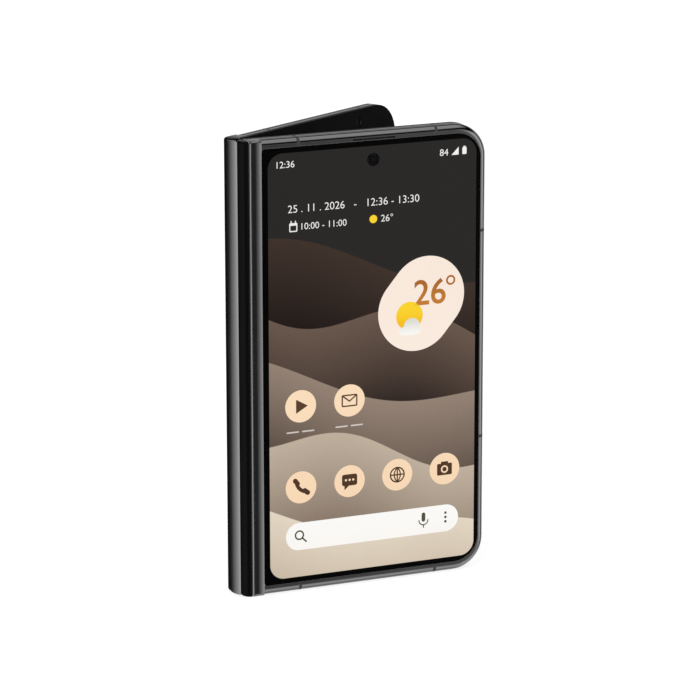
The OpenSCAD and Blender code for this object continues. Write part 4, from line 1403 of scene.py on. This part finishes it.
@dataclass(frozen=True)
class Paper(Finish):
    """Pale floor: plain white as the camera sees it, but for the shadow it takes."""
    low: Colour = (0.72, 0.72, 0.72)
    high: Colour = (0.76, 0.76, 0.76)
    seen: Colour = (0.35, 0.35, 0.35)
    shine: Colour = (0.78, 0.78, 0.78)
    dull: Colour = (0.0, 0.0, 0.0)

    def paint(self, graph: Graph) -> None:
        """Builds the shader.

        Args:
            graph: The empty graph of the finish.
        """
        seen, _ = graph.rays()
        paper = graph.blend(graph.noise(graph.place(), 0.4, 3), self.low, self.high)
        graph.surface(
            Base_Color=graph.blend(seen, paper, self.seen),
            Roughness=0.9,
            Specular_IOR_Level=0.0,
            Emission_Color=graph.blend(seen, self.dull, self.shine),
            Emission_Strength=1.0,
        )


@dataclass
class Studio:
    """Camera, pale floor, backdrop and soft lights."""
    eye: Spot = (-0.4164, -0.9648, 0.3409)
    gaze: Spot = (0.3809, 0.8909, -0.2474)
    roll: float = -0.001
    lens: float = 185.1
    daylight: Colour = (0.62, 0.63, 0.65)
    surroundings: tuple[tuple[float, float], ...] = (
        (0, 0.05), (6, 0.06), (12, 0.5), (30, 0.6), (66, 0.32), (82, 0.36), (97, 0.06),
        (105, 0.01), (125, 0.06), (143, 0.2),
        (165, 0.42), (185, 0.72), (205, 0.8), (220, 0.4), (234, 0.04), (288, 0.03), (300, 0.2),
        (318, 0.6), (338, 0.75), (347, 0.05))
    heights: tuple[tuple[float, float], ...] = (
        (0.0, 0.1), (0.1, 0.5), (0.2, 0.55), (0.3, 0.15), (0.68, 0.04), (0.74, 0.0), (0.83, 0.0),
        (0.87, 0.2), (0.93, 0.5), (0.98, 0.4), (1.0, 0.25))

    def build_camera(self) -> None:
        """Builds the camera."""
        data = bpy.data.cameras.new("camera")
        data.lens, data.sensor_width = self.lens, 36.0
        camera = placed("camera", data)
        camera.location = self.eye
        facing = Vector(self.gaze).to_track_quat("-Z", "Y") @ Quaternion((0, 0, 1), self.roll)
        camera.rotation_euler = facing.to_euler()
        bpy.context.scene.camera = camera

    def glossy_level(self, graph: Graph) -> bpy.types.NodeSocket:
        """Returns how bright the backdrop is in each direction round the phone.

        Args:
            graph: The world's graph.

        Returns:
            The colour output.
        """
        x, y, z = graph.parts(graph.add("ShaderNodeTexCoord").outputs["Generated"])
        turn = graph.math("FLOORED_MODULO", graph.math("ARCTAN2", y, x) / (2 * math.pi), 1.0)
        stops = [(angle / 360.0, (level,) * 3) for angle, level in self.surroundings]
        stops.append((1.0, stops[0][1]))
        tall = graph.ramp(z * 0.5 + 0.5, [(place, (level,) * 3) for place, level in self.heights])
        return graph.blend(abs(z).rise(0.32, 0.48), graph.ramp(turn, stops), tall)

    def build_world(self) -> None:
        """Builds the backdrop: white behind the phone, and panels and gaps round it."""
        world = bpy.data.worlds.new("studio")
        bpy.context.scene.world = world
        world.use_nodes = True
        graph = Graph(world.node_tree)
        seen, mirrored = graph.rays()
        plain = graph.blend(mirrored, self.daylight, self.glossy_level(graph))
        backdrop = graph.add("ShaderNodeBackground", None, {
            "Color": graph.blend(seen, plain, (1.0, 1.0, 1.0)), "Strength": 1.0})
        graph.add("ShaderNodeOutputWorld", None, {"Surface": backdrop.outputs[0]})

    def build_floor(self) -> None:
        """Builds the pale floor, which keeps the phone's shadow."""
        build = bmesh.new()
        bmesh.ops.create_circle(build, cap_ends=True, radius=6.0, segments=96)
        mesh = as_mesh("floor", build)
        floor = placed("floor", mesh)
        floor.location = (0.0, 0.0, -0.00005)
        floor.visible_glossy = False
        mesh.materials.append(Paper("floor_paper").material())

    def build_lamp(self, name: str, place: Point, height: float, size: float,
                   power: float) -> None:
        """Builds a soft lamp that faces the phone.

        Args:
            name: The lamp's name.
            place: X and Y in metres.
            height: Z in metres.
            size: Side of its square in metres.
            power: Power in watts.
        """
        data = bpy.data.lights.new(name, "AREA")
        data.size, data.energy = size, power
        lamp = placed(name, data)
        lamp.location = (*place, height)
        facing = Vector((-place[0], -place[1], 0.07 - height))
        lamp.rotation_euler = facing.to_track_quat("-Z", "Y").to_euler()
        lamp.visible_glossy = False

    def build(self) -> None:
        """Builds the studio."""
        scene = bpy.context.scene
        scene.view_settings.view_transform = "Standard"
        self.build_camera()
        self.build_world()
        self.build_floor()
        self.build_lamp("key_lamp", (-0.7, -0.6), 0.9, 0.7, 4.2)
        self.build_lamp("fill_lamp", (0.9, -0.5), 0.6, 0.9, 2.2)
        self.build_lamp("back_lamp", (0.2, 0.9), 0.8, 0.8, 2.2)


def main() -> None:
    """Builds the studio and the phone in order."""
    Studio().build()
    Shells().dress()
    Buttons().dress()
    HingeWorks().dress()
    Insides().dress()
    for part in (CoverScreen(), CameraIsland(), FoldingDisplay()):
        part.dress()
        part.build()


if __name__ == "__main__":
    main()
